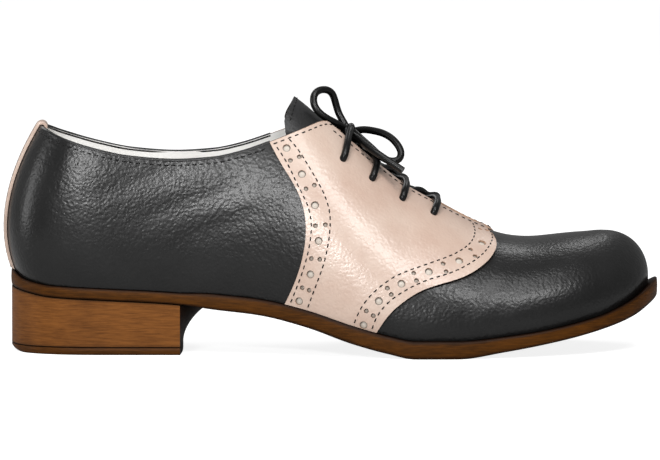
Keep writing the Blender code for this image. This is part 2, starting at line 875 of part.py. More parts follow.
def heel_top_piece():
    """The lift that the heel stands on."""
    bottom = heel_grid(heel_lift, HEEL_INSET, 0.0)
    top = heel_grid(lambda x: TOP_PIECE, HEEL_INSET, 0.0)
    return add_object("heel_top_piece", slab_mesh("heel_top_piece", bottom, [], top), "top_piece")


# Leather


def upper(opening):
    """Quarters and vamp, open at the collar, along the throat and underneath."""
    made = add_object("upper", shell_mesh("upper", -WALL, 0.0), "black_leather")
    boolean(made, "DIFFERENCE", opening)
    return made


def saddle(name, first, last, outline):
    """One half of the saddle, between two offsets of the form and inside its side view."""
    mesh = shell_mesh(name, CLEARANCE, CLEARANCE + SADDLE_LEATHER, ((first, last),))
    made = add_object(name, mesh, "cream_leather")
    boolean(made, "INTERSECT", outline)
    return made


def columns_between(start, end):
    """Numbers of the form's columns that take in the feather line from start to end, shares of LENGTH."""
    ways = [feather["x"](way) for way in STATIONS]
    first = max(i for i, x in enumerate(ways) if x < start)
    last = min(i for i, x in enumerate(ways) if x > end)
    return first, last


def tongue():
    """The tongue under the facings, with its free end above the collar."""
    far = -WALL - CLEARANCE
    _, front = columns_between(TONGUE_FROM, TONGUE_TO + 0.02)
    ranges = ((RIDGE_COLUMN, front), (RING - front, RING - RIDGE_COLUMN))
    mesh = shell_mesh("tongue", far - TONGUE_LEATHER, far, ranges, FORM_ROWS // 2)
    made = add_object("tongue", mesh, "black_leather")
    side, plan = tongue_cutters()
    boolean(made, "INTERSECT", side)
    boolean(made, "INTERSECT", plan)
    return made


def collar_height(x):
    line = side_view(COLLAR, over_seat)
    return monotone([p.x for p in line], [p.y for p in line])(x)


def heel_strip():
    """Strip up the back seam, over the collar's edge and a little way down inside."""
    steps_up = 11
    steps_over = 5
    across = 4
    half = STRIP_WIDTH / 2
    skins = []
    for lift in (CLEARANCE, CLEARANCE + STRIP_LEATHER):
        grid = []
        for j in range(across + 1):
            y = -half + STRIP_WIDTH * j / across
            top_z = collar_height(LENGTH * -0.095)
            for _ in range(6):
                top_z = collar_height(behind_form(y, top_z)[0].x)
            foot_x = LENGTH * feather["x"](0.0)
            low_z = sole_top(foot_x) + 2 * CLEARANCE
            line = []
            for i in range(steps_up + 1):
                place, normal = behind_form(y, low_z + (top_z - low_z) * i / steps_up)
                line.append(place + normal * lift)
                if i == 0:
                    line[0].z = sole_top(line[0].x) + CLEARANCE
            below, _ = behind_form(y, top_z - 0.002)
            rise = (place - below).normalized()
            rise = (rise - normal * rise.dot(normal)).normalized()
            centre = place - normal * (WALL / 2)
            reach = WALL / 2 + lift
            for i in range(1, steps_over + 1):
                angle = math.pi * i / steps_over
                line.append(centre + normal * (reach * math.cos(angle)) + rise * (reach * math.sin(angle)))
            line.append(line[-1] - rise * STRIP_FLAP)
            grid.append(line)
        skins.append(grid)
    mesh = slab_mesh("heel_strip", skins[0], [], skins[1])
    return add_object("heel_strip", mesh, "cream_leather")


# Lace

OVER_FACING = CLEARANCE + SADDLE_LEATHER + CLEARANCE + LACE / 2


def tube_mesh(name, line, radius):
    """A round solid along a line of points."""
    count = len(line)
    points = []
    faces = []
    reference = Vector((0, 0, 1))
    for i, place in enumerate(line):
        ahead = (line[min(i + 1, count - 1)] - line[max(i - 1, 0)]).normalized()
        across = ahead.cross(reference).normalized()
        over = across.cross(ahead)
        for k in range(LACE_SIDES):
            angle = 2 * math.pi * k / LACE_SIDES
            points.append(place + (across * math.cos(angle) + over * math.sin(angle)) * radius)
    for i in range(count - 1):
        for k in range(LACE_SIDES):
            after = (k + 1) % LACE_SIDES
            base = i * LACE_SIDES
            faces.append([base + k, base + after, base + after + LACE_SIDES, base + k + LACE_SIDES])
    faces.append(list(range(LACE_SIDES)))
    faces.append(list(range((count - 1) * LACE_SIDES, count * LACE_SIDES)))
    return mesh_from(name, points, faces)


def strand(front, rear, sign):
    """A strand from above one facing's hole, over the throat, to the other facing's edge further back.

    sign is -1 where it starts on the lateral side.
    """
    start = LENGTH * EYELETS[front]
    end = LENGTH * EYELETS[rear]
    near = throat_half(start)
    far = throat_half(end)
    middle = start + 0.5 * (end - start)
    dive = 0.0028  # the far end stays this far from the facing's edge
    places = [
        (start, near + EYELET_INSET, OVER_FACING),
        (start, near + 0.3 * EYELET_INSET, OVER_FACING),
        (start + 0.2 * (end - start), 0.6 * near, OVER_FACING),
        (middle, 0.0, OVER_FACING),
        (start + 0.54 * (end - start), -0.3 * far, 0.75 * OVER_FACING),
        (start + 0.58 * (end - start), -(far - dive - LACE / 2), 0.1 * OVER_FACING),
    ]
    return rounded(
        [over_form(x, ridge_y(x) + sign * across, lift) for x, across, lift in places], 1.4 * LACE
    )


def lace_crossing(name, front, rear):
    """Two strands that cross over the tongue, joined where they touch."""
    one = add_object(name, tube_mesh(name, strand(front, rear, -1), LACE / 2), "lace_cord")
    other = tube_mesh(name + "_other", strand(front, rear, 1), LACE / 2)
    boolean(one, "UNION", tool_object(name + "_other", other))
    return one


def lace_knot():
    """The knot, with the two strands that come up to it from the top holes."""
    x = LENGTH * KNOT_AT
    centre = over_form(x, ridge_y(x), OVER_FACING + KNOT_RISE)
    shape = bmesh.new()
    bmesh.ops.create_uvsphere(shape, u_segments=12, v_segments=8, radius=1.0)
    for vert in shape.verts:
        spread = Vector((1.15 * LACE, 1.5 * LACE, 1.05 * LACE))
        vert.co = centre + Vector([a * b for a, b in zip(vert.co, spread)])
    mesh = bpy.data.meshes.new("lace_knot")
    shape.to_mesh(mesh)
    shape.free()
    mesh.shade_smooth()
    knot = add_object("lace_knot", mesh, "lace_cord")
    hole = LENGTH * EYELETS[-1]
    for name, sign in (("knot_strand_lateral", -1), ("knot_strand_medial", 1)):
        near = throat_half(hole)
        places = [
            over_form(hole, ridge_y(hole) + sign * (near + EYELET_INSET), OVER_FACING),
            over_form(hole, ridge_y(hole) + sign * near, OVER_FACING + KNOT_RISE / 2),
            centre,
        ]
        mesh = tube_mesh(name, rounded(places, 1.4 * LACE), LACE / 2)
        boolean(knot, "UNION", tool_object(name, mesh))
    return knot


def lace_length(name, places):
    """A free length of lace along points chosen by hand."""
    line = rounded([Vector(place) / 1000 for place in places], 1.6 * LACE)
    curve = bpy.data.curves.new(name, "CURVE")
    curve.dimensions = "3D"
    curve.bevel_depth = LACE / 2
    curve.bevel_resolution = 2
    curve.use_fill_caps = True
    thread = curve.splines.new("POLY")
    thread.points.add(len(line) - 1)
    for point, place in zip(thread.points, line):
        point.co = (*place, 1.0)
    curve.materials.append(material("lace_cord"))
    made = bpy.data.objects.new(name, curve)
    bpy.context.scene.collection.objects.link(made)
    return made


def shoe():
    opening = opening_cutter()
    outline = saddle_cutter(opening)
    outsole()
    heel_block()
    heel_top_piece()
    insole()
    upper(opening)
    first, last = columns_between(*SADDLE_SPAN)
    saddle("saddle_lateral", first, last, outline)
    saddle("saddle_medial", RING - last, RING - first, outline)
    heel_strip()
    tongue()
    for name, front, rear in (
        ("lace_crossing_front", 0, 1),
        ("lace_crossing_middle", 1, 2),
        ("lace_crossing_rear", 2, 3),
    ):
        lace_crossing(name, front, rear)
    lace_knot()
    lace_length("lace_loop_rear", REAR_LOOP)
    lace_length("lace_loop_front", FRONT_LOOP)
    lace_length("lace_end_lateral", LATERAL_END)
    lace_length("lace_end_medial", MEDIAL_END)


shoe()
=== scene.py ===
# %% [markdown]
# # A saddle shoe
#
# One right shoe: black leather at the heel and the toe, a cream saddle with two punched bands across the
# instep, a round lace tied in a bow, a brown leather sole and a stacked heel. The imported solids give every
# size and place. This lesson dresses them: it models the leather as thin smooth shells, punches and stitches
# them, laces the shoe and gives each surface the finish of the real one.

import math
from collections import namedtuple

import bmesh
import bpy
import numpy as np
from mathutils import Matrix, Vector
from mathutils.bvhtree import BVHTree


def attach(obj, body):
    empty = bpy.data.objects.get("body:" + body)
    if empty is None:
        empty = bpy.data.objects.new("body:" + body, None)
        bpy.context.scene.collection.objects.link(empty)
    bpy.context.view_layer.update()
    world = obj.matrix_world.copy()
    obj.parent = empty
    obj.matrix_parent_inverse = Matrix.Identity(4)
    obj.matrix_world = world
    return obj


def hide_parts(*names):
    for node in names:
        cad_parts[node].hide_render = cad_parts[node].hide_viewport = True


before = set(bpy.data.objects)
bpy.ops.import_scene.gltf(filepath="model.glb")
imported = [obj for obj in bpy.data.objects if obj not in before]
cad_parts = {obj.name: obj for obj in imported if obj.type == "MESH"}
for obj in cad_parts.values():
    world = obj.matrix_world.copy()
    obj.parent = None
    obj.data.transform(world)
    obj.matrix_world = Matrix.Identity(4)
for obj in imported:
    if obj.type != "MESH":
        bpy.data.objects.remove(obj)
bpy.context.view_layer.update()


def put(name, data):
    """A new object with that data in the scene."""
    made = bpy.data.objects.new(name, data)
    bpy.context.scene.collection.objects.link(made)
    return made


def in_mm(values, digits=1):
    return [round(1000 * value, digits) for value in values]


def clamp(value):
    return min(1.0, max(0.0, value))


print("nodes:", sorted(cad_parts))

# %% [markdown]
# ## Camera, floor and light
#
# The shoe was photographed from its outer side, from slightly above, with a long lens. A long lens keeps the
# near and the far edge of the topline at nearly the same scale, so the camera stands far off. The light is
# that of a studio: a pale floor, a bright room and wide soft boxes, whose reflections draw the shine on the
# leather.

# %% Camera
PIXEL = 0.0004364  # metres on the shoe for a pixel of the photograph
TILT = math.radians(5.0)  # the camera looks down by this angle
PHOTO_ORIGIN = (100.0, 354.3)  # pixel of the middle of the heel on the floor
PHOTO_DROP = 0.0026  # that place, below the plane through the origin
PHOTO_SIZE = (660, 460)
RIGHT = Vector((1, 0, 0))
UPWARD = Vector((0, math.sin(TILT), math.cos(TILT)))
AHEAD = Vector((0, math.cos(TILT), -math.sin(TILT)))


def photo_plane(column, row):
    """The point under a pixel, in the plane through the origin that faces the camera."""
    across = (column - PHOTO_ORIGIN[0]) * PIXEL
    height = (PHOTO_ORIGIN[1] - row) * PIXEL - PHOTO_DROP
    return RIGHT * across + UPWARD * height


LENS = 600.0  # millimetres
camera_data = bpy.data.cameras.new("camera")
camera_data.lens = LENS
camera_data.clip_end = 50.0
camera = put("camera", camera_data)
distance = PHOTO_SIZE[0] * PIXEL * LENS / camera_data.sensor_width
camera.location = photo_plane(PHOTO_SIZE[0] / 2, PHOTO_SIZE[1] / 2) - AHEAD * distance
camera.rotation_euler = (math.radians(90) - TILT, 0.0, 0.0)
bpy.context.scene.camera = camera
print("camera", [round(value, 3) for value in camera.location], "distance", round(distance, 2))

# %% Floor and light
ROOM_LIGHT = 0.26  # strength of the world for the shoe
BACKDROP_LIGHT = 1.05  # and as the camera sees it


def deselect():
    for thing in bpy.context.selected_objects:
        thing.select_set(False)


deselect()
bpy.ops.mesh.primitive_plane_add(size=12.0, location=(0.1, 0.0, 0.0))
floor = bpy.context.object
floor.name = "floor"

world = bpy.data.worlds.new("studio")
bpy.context.scene.world = world
world.use_nodes = True
room = world.node_tree
seen = room.nodes.new("ShaderNodeLightPath")
backdrop = room.nodes.new("ShaderNodeMapRange")  # a white backdrop in a dimmer room
backdrop.inputs["To Min"].default_value = ROOM_LIGHT
backdrop.inputs["To Max"].default_value = BACKDROP_LIGHT
room.links.new(seen.outputs["Is Camera Ray"], backdrop.inputs["Value"])
room.links.new(backdrop.outputs["Result"], room.nodes["Background"].inputs["Strength"])
room.nodes["Background"].inputs["Color"].default_value = (1.0, 1.0, 1.0, 1.0)
bpy.context.scene.view_settings.view_transform = "Standard"
bpy.context.scene.view_settings.look = "None"

SOFT_BOXES = (
    # name, place, aim, size, watts
    ("top_box", (0.06, -0.50, 1.10), (0.10, 0.0, 0.06), (0.8, 0.5), 6.5),
    ("quarter_box", (-0.19, -1.10, 0.52), (0.08, -0.03, 0.07), (0.32, 0.11), 6.4),
    ("instep_box", (0.475, -0.757, 0.80), (0.145, -0.042, 0.033), (0.30, 0.16), 3.6),
    ("toe_box", (0.346, 0.744, 0.97), (0.214, 0.0, 0.047), (0.26, 0.14), 0.85),
    ("strip_box", (-1.0, -0.12, 0.30), (-0.04, 0.0, 0.07), (0.3, 0.5), 2.2),
    ("back_box", (-0.50, 0.90, 0.80), (0.05, 0.0, 0.05), (0.7, 0.5), 2.6),
)
for name, place, aim, size, watts in SOFT_BOXES:
    lamp = bpy.data.lights.new(name, "AREA")
    lamp.shape = "RECTANGLE"
    lamp.size, lamp.size_y = size
    lamp.energy = watts
    holder = put(name, lamp)
    holder.location = place
    holder.rotation_euler = (Vector(aim) - Vector(place)).to_track_quat("-Z", "Y").to_euler()
print("soft boxes:", len(SOFT_BOXES))

# %% [markdown]
# ## Sizes
#
# The leather is pulled over a last, a wooden form of the foot. A handful of sizes and short tables describe
# it, the same that the solids were made from: the height and thickness of the sole along its length, and
# fourteen sections from the back seam to the toe. Every number in a table is a share of a named size.

# %% Sizes of the shoe
LENGTH = 0.285  # back of the heel counter to the tip of the sole
BALL_WIDTH = 0.092  # across the ball, where the upper meets the sole
HEEL_HEIGHT = 0.024  # floor to the underside of the outsole, middle of the heel
TOE_SPRING = 0.023  # floor to the underside of the outsole, at its tip
BACK_HEIGHT = 0.0694  # collar at the back, above the heel seat
INSTEP_HEIGHT = 0.0795  # ridge of the instep above the outsole, at the joint
TOE_HEIGHT = 0.0228  # ridge of the toe box above the outsole
SOLE_THICKNESS = 0.007
LEDGE = 0.0035  # how far the outsole stands out beyond the upper, round the forefoot
WALL = 0.002  # leather and lining of the upper
SADDLE_LEATHER = 0.0013
STRIP_LEATHER = 0.0012
STRIP_WIDTH = 0.0125
STRIP_FLAP = 0.003  # end of the heel strip, inside the collar
TONGUE_LEATHER = 0.0022
TONGUE_HALF_WIDTH = 0.021
TONGUE_TAPER = 0.8  # width at its sewn end, share of the free end's
TOP_PIECE = 0.0032
HEEL_INSET = 0.0003  # heel stack inside the outline of the outsole
BREAST_LIP = 0.012  # how far the heel breast runs forward under the waist, on the centre line
CLEARANCE = 0.0003  # between pieces that touch
THROAT_HALF_REAR = 0.0115  # half the gap between the facings, at the collar
THROAT_HALF_FRONT = 0.0055
LACE = 0.0032  # diameter
EYELET_INSET = 0.0085  # lace hole from the edge of its facing
KNOT_RISE = -0.0004  # middle of the knot above the strands on the facings
HEEL_ROUND = 0.0022  # the worn lower edge at the back of the heel

# Stations in shares of LENGTH
THROAT_FROM = 0.34  # end of the facings at the collar
THROAT_END = 0.584
SADDLE_SPAN = (0.22, 0.66)  # the part of the form that the saddle is cut from
BREAST_AT = 0.124
EYELETS = (0.512, 0.4635, 0.4175, 0.3735)
KNOT_AT = 0.3755
TONGUE_FROM = 0.29
TONGUE_TO = 0.63

print("length", LENGTH, "ball", BALL_WIDTH)

# %% Sole profile
SEAT = HEEL_HEIGHT + 0.69 * SOLE_THICKNESS  # top of the outsole at the middle of the heel

# The underside of the outsole and its thickness. heel is a share of HEEL_HEIGHT, spring of TOE_SPRING,
# thick of SOLE_THICKNESS.
Profile = namedtuple("Profile", "x heel spring thick")
SOLE_PROFILE = [Profile(*row) for row in (
    (-0.136, 1.180, 0.000, 1.10), (-0.112, 1.115, 0.000, 0.72), (-0.077, 1.046, 0.000, 0.69),
    (0.000, 1.000, 0.000, 0.69), (0.119, 0.921, 0.000, 0.70), (0.175, 0.829, 0.000, 0.96),
    (0.246, 0.738, 0.000, 0.99), (0.316, 0.546, 0.000, 1.03), (0.386, 0.265, 0.000, 1.09),
    (0.442, 0.090, 0.000, 1.08), (0.481, 0.000, 0.000, 1.09), (0.547, 0.000, 0.000, 1.08),
    (0.614, 0.000, 0.117, 0.93), (0.691, 0.000, 0.283, 0.83), (0.761, 0.000, 0.478, 0.84),
    (0.814, 0.000, 0.696, 1.03), (0.854, 0.000, 1.000, 1.21),
)]

print("sole stations:", len(SOLE_PROFILE))

# %% Sections
# Sections of the lasted form, from the back seam to the toe. Each side of a section is a Bezier curve from
# the feather line up to the collar or the ridge. x is a share of LENGTH, lateral and medial are shares of
# BALL_WIDTH, and the ledge is a share of LEDGE.
Feather = namedtuple("Feather", "x lateral medial ledge")
FEATHER = [Feather(*row) for row in (
    (-0.1295, 0.000, 0.000, 0.50), (-0.107, -0.207, 0.207, 0.45), (-0.053, -0.300, 0.298, 0.40),
    (0.032, -0.322, 0.315, 0.40), (0.116, -0.322, 0.293, 0.45), (0.204, -0.341, 0.267, 0.60),
    (0.295, -0.404, 0.293, 0.80), (0.393, -0.483, 0.391, 0.95), (0.498, -0.513, 0.470, 1.00),
    (0.589, -0.493, 0.491, 1.00), (0.681, -0.432, 0.470, 1.00), (0.758, -0.325, 0.398, 1.00),
    (0.816, -0.155, 0.268, 1.05), (0.839, 0.065, 0.065, 1.20),
)]

# The two handles of each curve. rise is a share of the section's whole height.
Handle = namedtuple("Handle", "x lateral medial rise")
LOWER_HANDLES = [Handle(*row) for row in (
    (-0.1595, 0.000, 0.000, 0.29), (-0.133, -0.272, 0.272, 0.30), (-0.067, -0.361, 0.357, 0.29),
    (0.028, -0.376, 0.370, 0.28), (0.116, -0.374, 0.350, 0.27), (0.204, -0.393, 0.337, 0.29),
    (0.296, -0.454, 0.370, 0.34), (0.395, -0.533, 0.457, 0.35), (0.500, -0.565, 0.533, 0.33),
    (0.593, -0.545, 0.552, 0.38), (0.688, -0.482, 0.520, 0.44), (0.770, -0.370, 0.440, 0.50),
    (0.827, -0.183, 0.296, 0.51), (0.844, 0.065, 0.065, 0.50),
)]
UPPER_HANDLES = [Handle(*row) for row in (
    (-0.1335, 0.000, 0.000, 0.66), (-0.1105, -0.205, 0.205, 0.67), (-0.056, -0.300, 0.298, 0.68),
    (0.028, -0.309, 0.304, 0.68), (0.119, -0.306, 0.298, 0.70), (0.214, -0.302, 0.283, 0.82),
    (0.281, -0.272, 0.239, 0.99), (0.381, -0.272, 0.239, 1.00), (0.491, -0.293, 0.293, 1.00),
    (0.596, -0.330, 0.362, 1.00), (0.674, -0.300, 0.362, 1.00), (0.739, -0.200, 0.312, 1.01),
    (0.789, -0.050, 0.195, 1.02), (0.821, 0.065, 0.065, 0.96),
)]

# The upper ends of the curves: round the collar the two sides stand apart, and from the seventh section on
# they meet on the ridge. back, instep and toe are shares of the three named heights.
Top = namedtuple("Top", "x lateral medial back instep toe")
TOPS = [Top(*row) for row in (
    (-0.074, 0.000, 0.000, 1.02, 0.000, 0.00), (-0.063, -0.141, 0.141, 1.06, 0.000, 0.00),
    (-0.025, -0.228, 0.228, 1.06, 0.000, 0.00), (0.039, -0.250, 0.246, 1.00, 0.000, 0.00),
    (0.130, -0.234, 0.228, 1.05, 0.000, 0.00), (0.225, -0.141, 0.136, 0.45, 0.680, 0.00),
    (0.281, 0.000, 0.000, 0.00, 1.178, 0.00), (0.379, 0.005, 0.005, 0.00, 1.000, 0.00),
    (0.491, 0.011, 0.011, 0.00, 0.750, 0.00), (0.596, 0.022, 0.022, 0.00, 0.543, 0.00),
    (0.670, 0.035, 0.035, 0.00, 0.250, 0.75), (0.730, 0.048, 0.048, 0.00, 0.000, 1.48),
    (0.767, 0.059, 0.059, 0.00, 0.000, 1.21), (0.779, 0.063, 0.063, 0.00, 0.000, 1.00),
)]
RIDGE_SECTION = 6

print("sections:", len(FEATHER))

# %% Edges in the side view
# Side view of the topline. x is a share of LENGTH, height of BACK_HEIGHT above the heel seat.
Edge = namedtuple("Edge", "x height")
COLLAR = [Edge(*row) for row in (
    (-0.175, 1.120), (-0.095, 1.000), (-0.058, 0.932), (0.003, 0.857),
    (0.049, 0.820), (0.116, 0.801), (0.175, 0.816), (0.218, 0.855),
    (0.263, 0.919), (0.326, 1.017), (0.340, 1.032), (0.353, 1.023),
    (0.362, 1.000),
)]

# Side view of the saddle's rear and front edges, from the top down. height is a share of INSTEP_HEIGHT above
# the outsole at that place.
SADDLE_REAR = [Edge(*row) for row in (
    (0.2600, 0.862), (0.2795, 0.752), (0.2985, 0.659), (0.3130, 0.535),
    (0.3155, 0.425), (0.3100, 0.277), (0.2985, 0.136), (0.2830, 0.000),
)]
SADDLE_FRONT = [Edge(*row) for row in (
    (0.5680, 0.680), (0.5835, 0.594), (0.5970, 0.546), (0.6060, 0.493),
    (0.6005, 0.444), (0.5840, 0.395), (0.5560, 0.348), (0.5190, 0.309),
    (0.4910, 0.275), (0.4635, 0.208), (0.4450, 0.135), (0.4220, 0.000),
)]

# Side view of the tongue's free end, from the ridge down. It swells a little more than the solid one's.
TONGUE_END = [Edge(*row) for row in (
    (0.3030, 1.300), (0.2970, 1.110), (0.2905, 1.055), (0.2849, 1.012),
    (0.2815, 0.965), (0.2794, 0.905), (0.2788, 0.850), (0.2786, 0.800),
)]

print("topline points:", len(COLLAR))

# %% [markdown]
# ## Curves through the tables
#
# Two kinds of curve run through the numbers. A smooth spline is free to swing a little between its points,
# which suits a pulled skin. A monotone curve never swings past them, which suits a sole that has to stay
# flat where two heights are equal.

# %% Curves
def spline(knots, values, flat_ends):
    """A smooth curve through the values. Its ends are level, or free where flat_ends is false."""
    x, y = np.array(knots), np.array(values)
    gaps = np.diff(x)
    rises = np.diff(y) / gaps
    matrix = np.identity(len(x))
    right = np.zeros(len(x))
    for i in range(1, len(x) - 1):
        matrix[i, i - 1 : i + 2] = gaps[i], 2 * (gaps[i - 1] + gaps[i]), gaps[i - 1]
        right[i] = 3 * (gaps[i] * rises[i - 1] + gaps[i - 1] * rises[i])
    if not flat_ends:
        matrix[0, 1] = matrix[-1, -2] = 0.5
        right[0], right[-1] = 1.5 * rises[0], 1.5 * rises[-1]
    return hermite(x, y, np.linalg.solve(matrix, right))


def monotone(knots, values):
    """A curve through the values that never swings past them, and is level where two of them are equal."""
    x, y = np.array(knots), np.array(values)
    gaps = np.diff(x)
    rises = np.diff(y) / gaps
    slopes = np.array([rises[0], *[0.0] * (len(x) - 2), rises[-1]])
    for i in range(1, len(x) - 1):
        if rises[i - 1] * rises[i] > 0:
            before, after = 2 * gaps[i] + gaps[i - 1], gaps[i] + 2 * gaps[i - 1]
            slopes[i] = (before + after) / (before / rises[i - 1] + after / rises[i])
    return hermite(x, y, slopes)


def hermite(x, y, slopes):
    """The piecewise cubic with these values and slopes, carried on straight past its ends."""

    def at(value):
        for stop, outside in ((0, value <= x[0]), (-1, value >= x[-1])):
            if outside:
                return float(y[stop] + slopes[stop] * (value - x[stop]))
        i = int(np.searchsorted(x, value, side="right")) - 1
        gap = x[i + 1] - x[i]
        s = (value - x[i]) / gap
        near = y[i] * (1 + 2 * s) * (1 - s) ** 2 + slopes[i] * gap * s * (1 - s) ** 2
        far = y[i + 1] * (3 - 2 * s) * s**2 + slopes[i + 1] * gap * (s - 1) * s**2
        return float(near + far)

    return at


def column(rows, name):
    return [getattr(row, name) for row in rows]


PROFILE_X = [LENGTH * share for share in column(SOLE_PROFILE, "x")]
sole_bottom = monotone(
    PROFILE_X, [HEEL_HEIGHT * row.heel + TOE_SPRING * row.spring for row in SOLE_PROFILE]
)
sole_gauge = monotone(PROFILE_X, [SOLE_THICKNESS * row.thick for row in SOLE_PROFILE])


def sole_top(x):
    return sole_bottom(x) + sole_gauge(x)


print("sole height under the ball:", round(1000 * sole_bottom(0.145), 2), "mm")

# %% [markdown]
# ## The form
#
# The solids use a coarse grid. A render shows every facet of a highlight, so the form is worked out again on
# a finer grid. Each section is a Bezier curve on either side of the foot, from the feather line, where upper
# and sole meet, up to the collar or the ridge of the instep. A skin that is stretched like this has no
# corners, so a loft fits it better than a sculpted or an inflated shape.

# %% A point of the form
def feather_knots():
    """Shares of the way along the feather line at which the sections stand."""
    way = [0.0]
    for here, there in zip(FEATHER, FEATHER[1:]):
        forward = LENGTH * (there.x - here.x)
        lateral = math.hypot(forward, BALL_WIDTH * (there.lateral - here.lateral))
        medial = math.hypot(forward, BALL_WIDTH * (there.medial - here.medial))
        way.append(way[-1] + (lateral + medial) / 2)
    return [distance / way[-1] for distance in way]


KNOTS = feather_knots()
RIDGE_FROM = KNOTS[RIDGE_SECTION]
SIDES = ("lateral", "medial")
SIGNS = ((-1, "lateral"), (1, "medial"))


def curves(rows, level, across):
    """One curve for each column of a table: level names keep level ends, across names are sideways."""
    made = {name: spline(KNOTS, column(rows, name), True) for name in level}
    made.update({name: across(KNOTS, column(rows, name)) for name in SIDES})
    return made


def free(knots, values):
    return spline(knots, values, False)


feather = curves(FEATHER, ("x", "ledge"), free)
lower_handle = curves(LOWER_HANDLES, ("x", "rise"), free)
upper_handle = curves(UPPER_HANDLES, ("x", "rise"), free)
top_end = curves(TOPS, ("x", "back", "instep", "toe"), monotone)


def form_point(along, up, side):
    """A point of the form's outer face: along from back seam to toe, up from feather line to top."""

    def at(curve, z):
        return Vector((LENGTH * curve["x"](along), BALL_WIDTH * curve[side](along), z))

    foot = sole_top(LENGTH * feather["x"](along)) + CLEARANCE
    height = BACK_HEIGHT * top_end["back"](along)
    height += INSTEP_HEIGHT * top_end["instep"](along)
    height += TOE_HEIGHT * top_end["toe"](along)
    points = [at(feather, foot)]
    points += [at(handle, foot + height * handle["rise"](along)) for handle in (lower_handle, upper_handle)]
    points.append(at(top_end, foot + height))
    down = 1 - up
    weights = (down**3, 3 * up * down**2, 3 * up**2 * down, up**3)
    return sum((weight * point for weight, point in zip(weights, points)), Vector())


# %% [markdown]
# Worn leather has a few soft troughs where the foot bends. They are given as short lines in the side view
# with a depth and a width, and are pressed into the form before any leather is laid on it, so that all
# layers share them.

# %% Creases
Crease = namedtuple("Crease", "start end depth width")
CREASES = (
    Crease((0.158, 0.016), (0.176, 0.048), 0.00030, 0.0040),
    Crease((0.171, 0.014), (0.186, 0.042), 0.00022, 0.0034),
    Crease((0.143, 0.022), (0.158, 0.044), 0.00018, 0.0040),
    Crease((0.020, 0.060), (0.074, 0.078), 0.00026, 0.0042),
    Crease((0.034, 0.050), (0.080, 0.066), 0.00020, 0.0038),
    Crease((-0.006, 0.068), (0.040, 0.084), 0.00018, 0.0040),
)


CREASE_CORE = 0.3  # share of a crease, either side of its middle, that is fully deep
CREASE_FADE = 0.45  # share over which its ends run out


def crease_depth(place):
    """How far the leather is pressed in at a place of the form."""
    spot = Vector((place.x, place.z))
    depth = 0.0
    for crease in CREASES:
        start = Vector(crease.start)
        run = Vector(crease.end) - start
        share = (spot - start).dot(run) / run.length_squared
        aside = (spot - start - run * clamp(share)).length
        fade = max(0.0, 1.0 - max(0.0, abs(share - 0.5) - CREASE_CORE) / CREASE_FADE)
        depth += crease.depth * fade * math.exp(-((aside / crease.width) ** 2))
    return depth


print("creases:", len(CREASES))

# %% The grid
FORM_COLUMNS = 132
FORM_ROWS = 34
CROWDING = 0.3  # 0 is an even spacing


def form_stations():
    """Way of each column of facets, closer together round the heel and the toe, with one on RIDGE_FROM."""
    shares = [i / FORM_COLUMNS for i in range(FORM_COLUMNS + 1)]
    way = [share - CROWDING * math.sin(2 * math.pi * share) / (2 * math.pi) for share in shares]
    nearest = min(range(len(way)), key=lambda i: abs(way[i] - RIDGE_FROM))
    way[nearest] = RIDGE_FROM
    return way, nearest


STATIONS, RIDGE_COLUMN = form_stations()
RING = 2 * FORM_COLUMNS


def form_index(c, row):
    """Number of the grid's point in column c of the ring. The two sides share the points of the ridge."""
    c %= RING
    if row == FORM_ROWS and RIDGE_COLUMN <= c <= RING - RIDGE_COLUMN:
        c = min(c, RING - c)
    return row * RING + c


def form_faces(first, last, low, high):
    """Faces of the grid between two columns and two rows, facing out."""
    faces = []
    for c in range(first, last):
        for row in range(low, high):
            corners = [form_index(c + i, row + j) for i, j in ((0, 0), (1, 0), (1, 1), (0, 1))]
            faces.append(list(dict.fromkeys(corners)))
    return [face for face in faces if len(face) > 2]


def face_normals(points, faces):
    normals = {key: Vector() for key in points}
    for face in faces:
        corners = [points[key] for key in face]
        normal = (corners[2] - corners[0]).cross(corners[-1] - corners[1])
        for key in face:
            normals[key] += normal
    for normal in normals.values():
        normal.normalize()
    return normals


def form_grid():
    """The grid's points, pressed in along the creases, and the outward normal at each of them."""
    points = {}
    for c in range(RING):
        side = "lateral" if c <= FORM_COLUMNS else "medial"
        along = STATIONS[c if c <= FORM_COLUMNS else RING - c]
        for row in range(FORM_ROWS + 1):
            points.setdefault(form_index(c, row), form_point(along, row / FORM_ROWS, side))
    faces = form_faces(0, RING, 0, FORM_ROWS)
    normals = face_normals(points, faces)
    pressed = {key: point - normals[key] * crease_depth(point) for key, point in points.items()}
    return pressed, face_normals(pressed, faces)


FORM_POINTS, FORM_NORMALS = form_grid()
print("points of the form:", len(FORM_POINTS))

# %% [markdown]
# Stitches, punched holes and the lace all lie on the leather. A ray finds the place: from the camera's side
# for what the photograph shows, from above for what lies along the lace facings, and from behind for the
# strip over the back seam.

# %% Places on the form


def form_tree():
    keys = sorted(FORM_POINTS)
    order = {key: i for i, key in enumerate(keys)}
    faces = [[order[key] for key in face] for face in form_faces(0, RING, 0, FORM_ROWS)]
    return BVHTree.FromPolygons([FORM_POINTS[key] for key in keys], faces)


FORM_TREE = form_tree()
OUTSIDE = 1.0  # a ray starts this far off


def on_form(start, direction):
    """Where a ray meets the form, with the outward normal there, or None."""
    place, normal, _, _ = FORM_TREE.ray_cast(start, direction)
    return None if place is None else (place, normal.normalized())


def from_above(x, y):
    """The place of the upper face over (x, y), with its normal, or None."""
    return on_form(Vector((x, y, OUTSIDE)), Vector((0, 0, -1)))


def over_form(x, y, lift):
    """The point above (x, y) that stands off the form's upper face by lift."""
    place, normal = from_above(x, y)
    return place + normal * lift


def under_pixel(column, row):
    """The place of the form that a pixel of the photograph shows."""
    return on_form(photo_plane(column, row) - AHEAD * OUTSIDE, AHEAD)


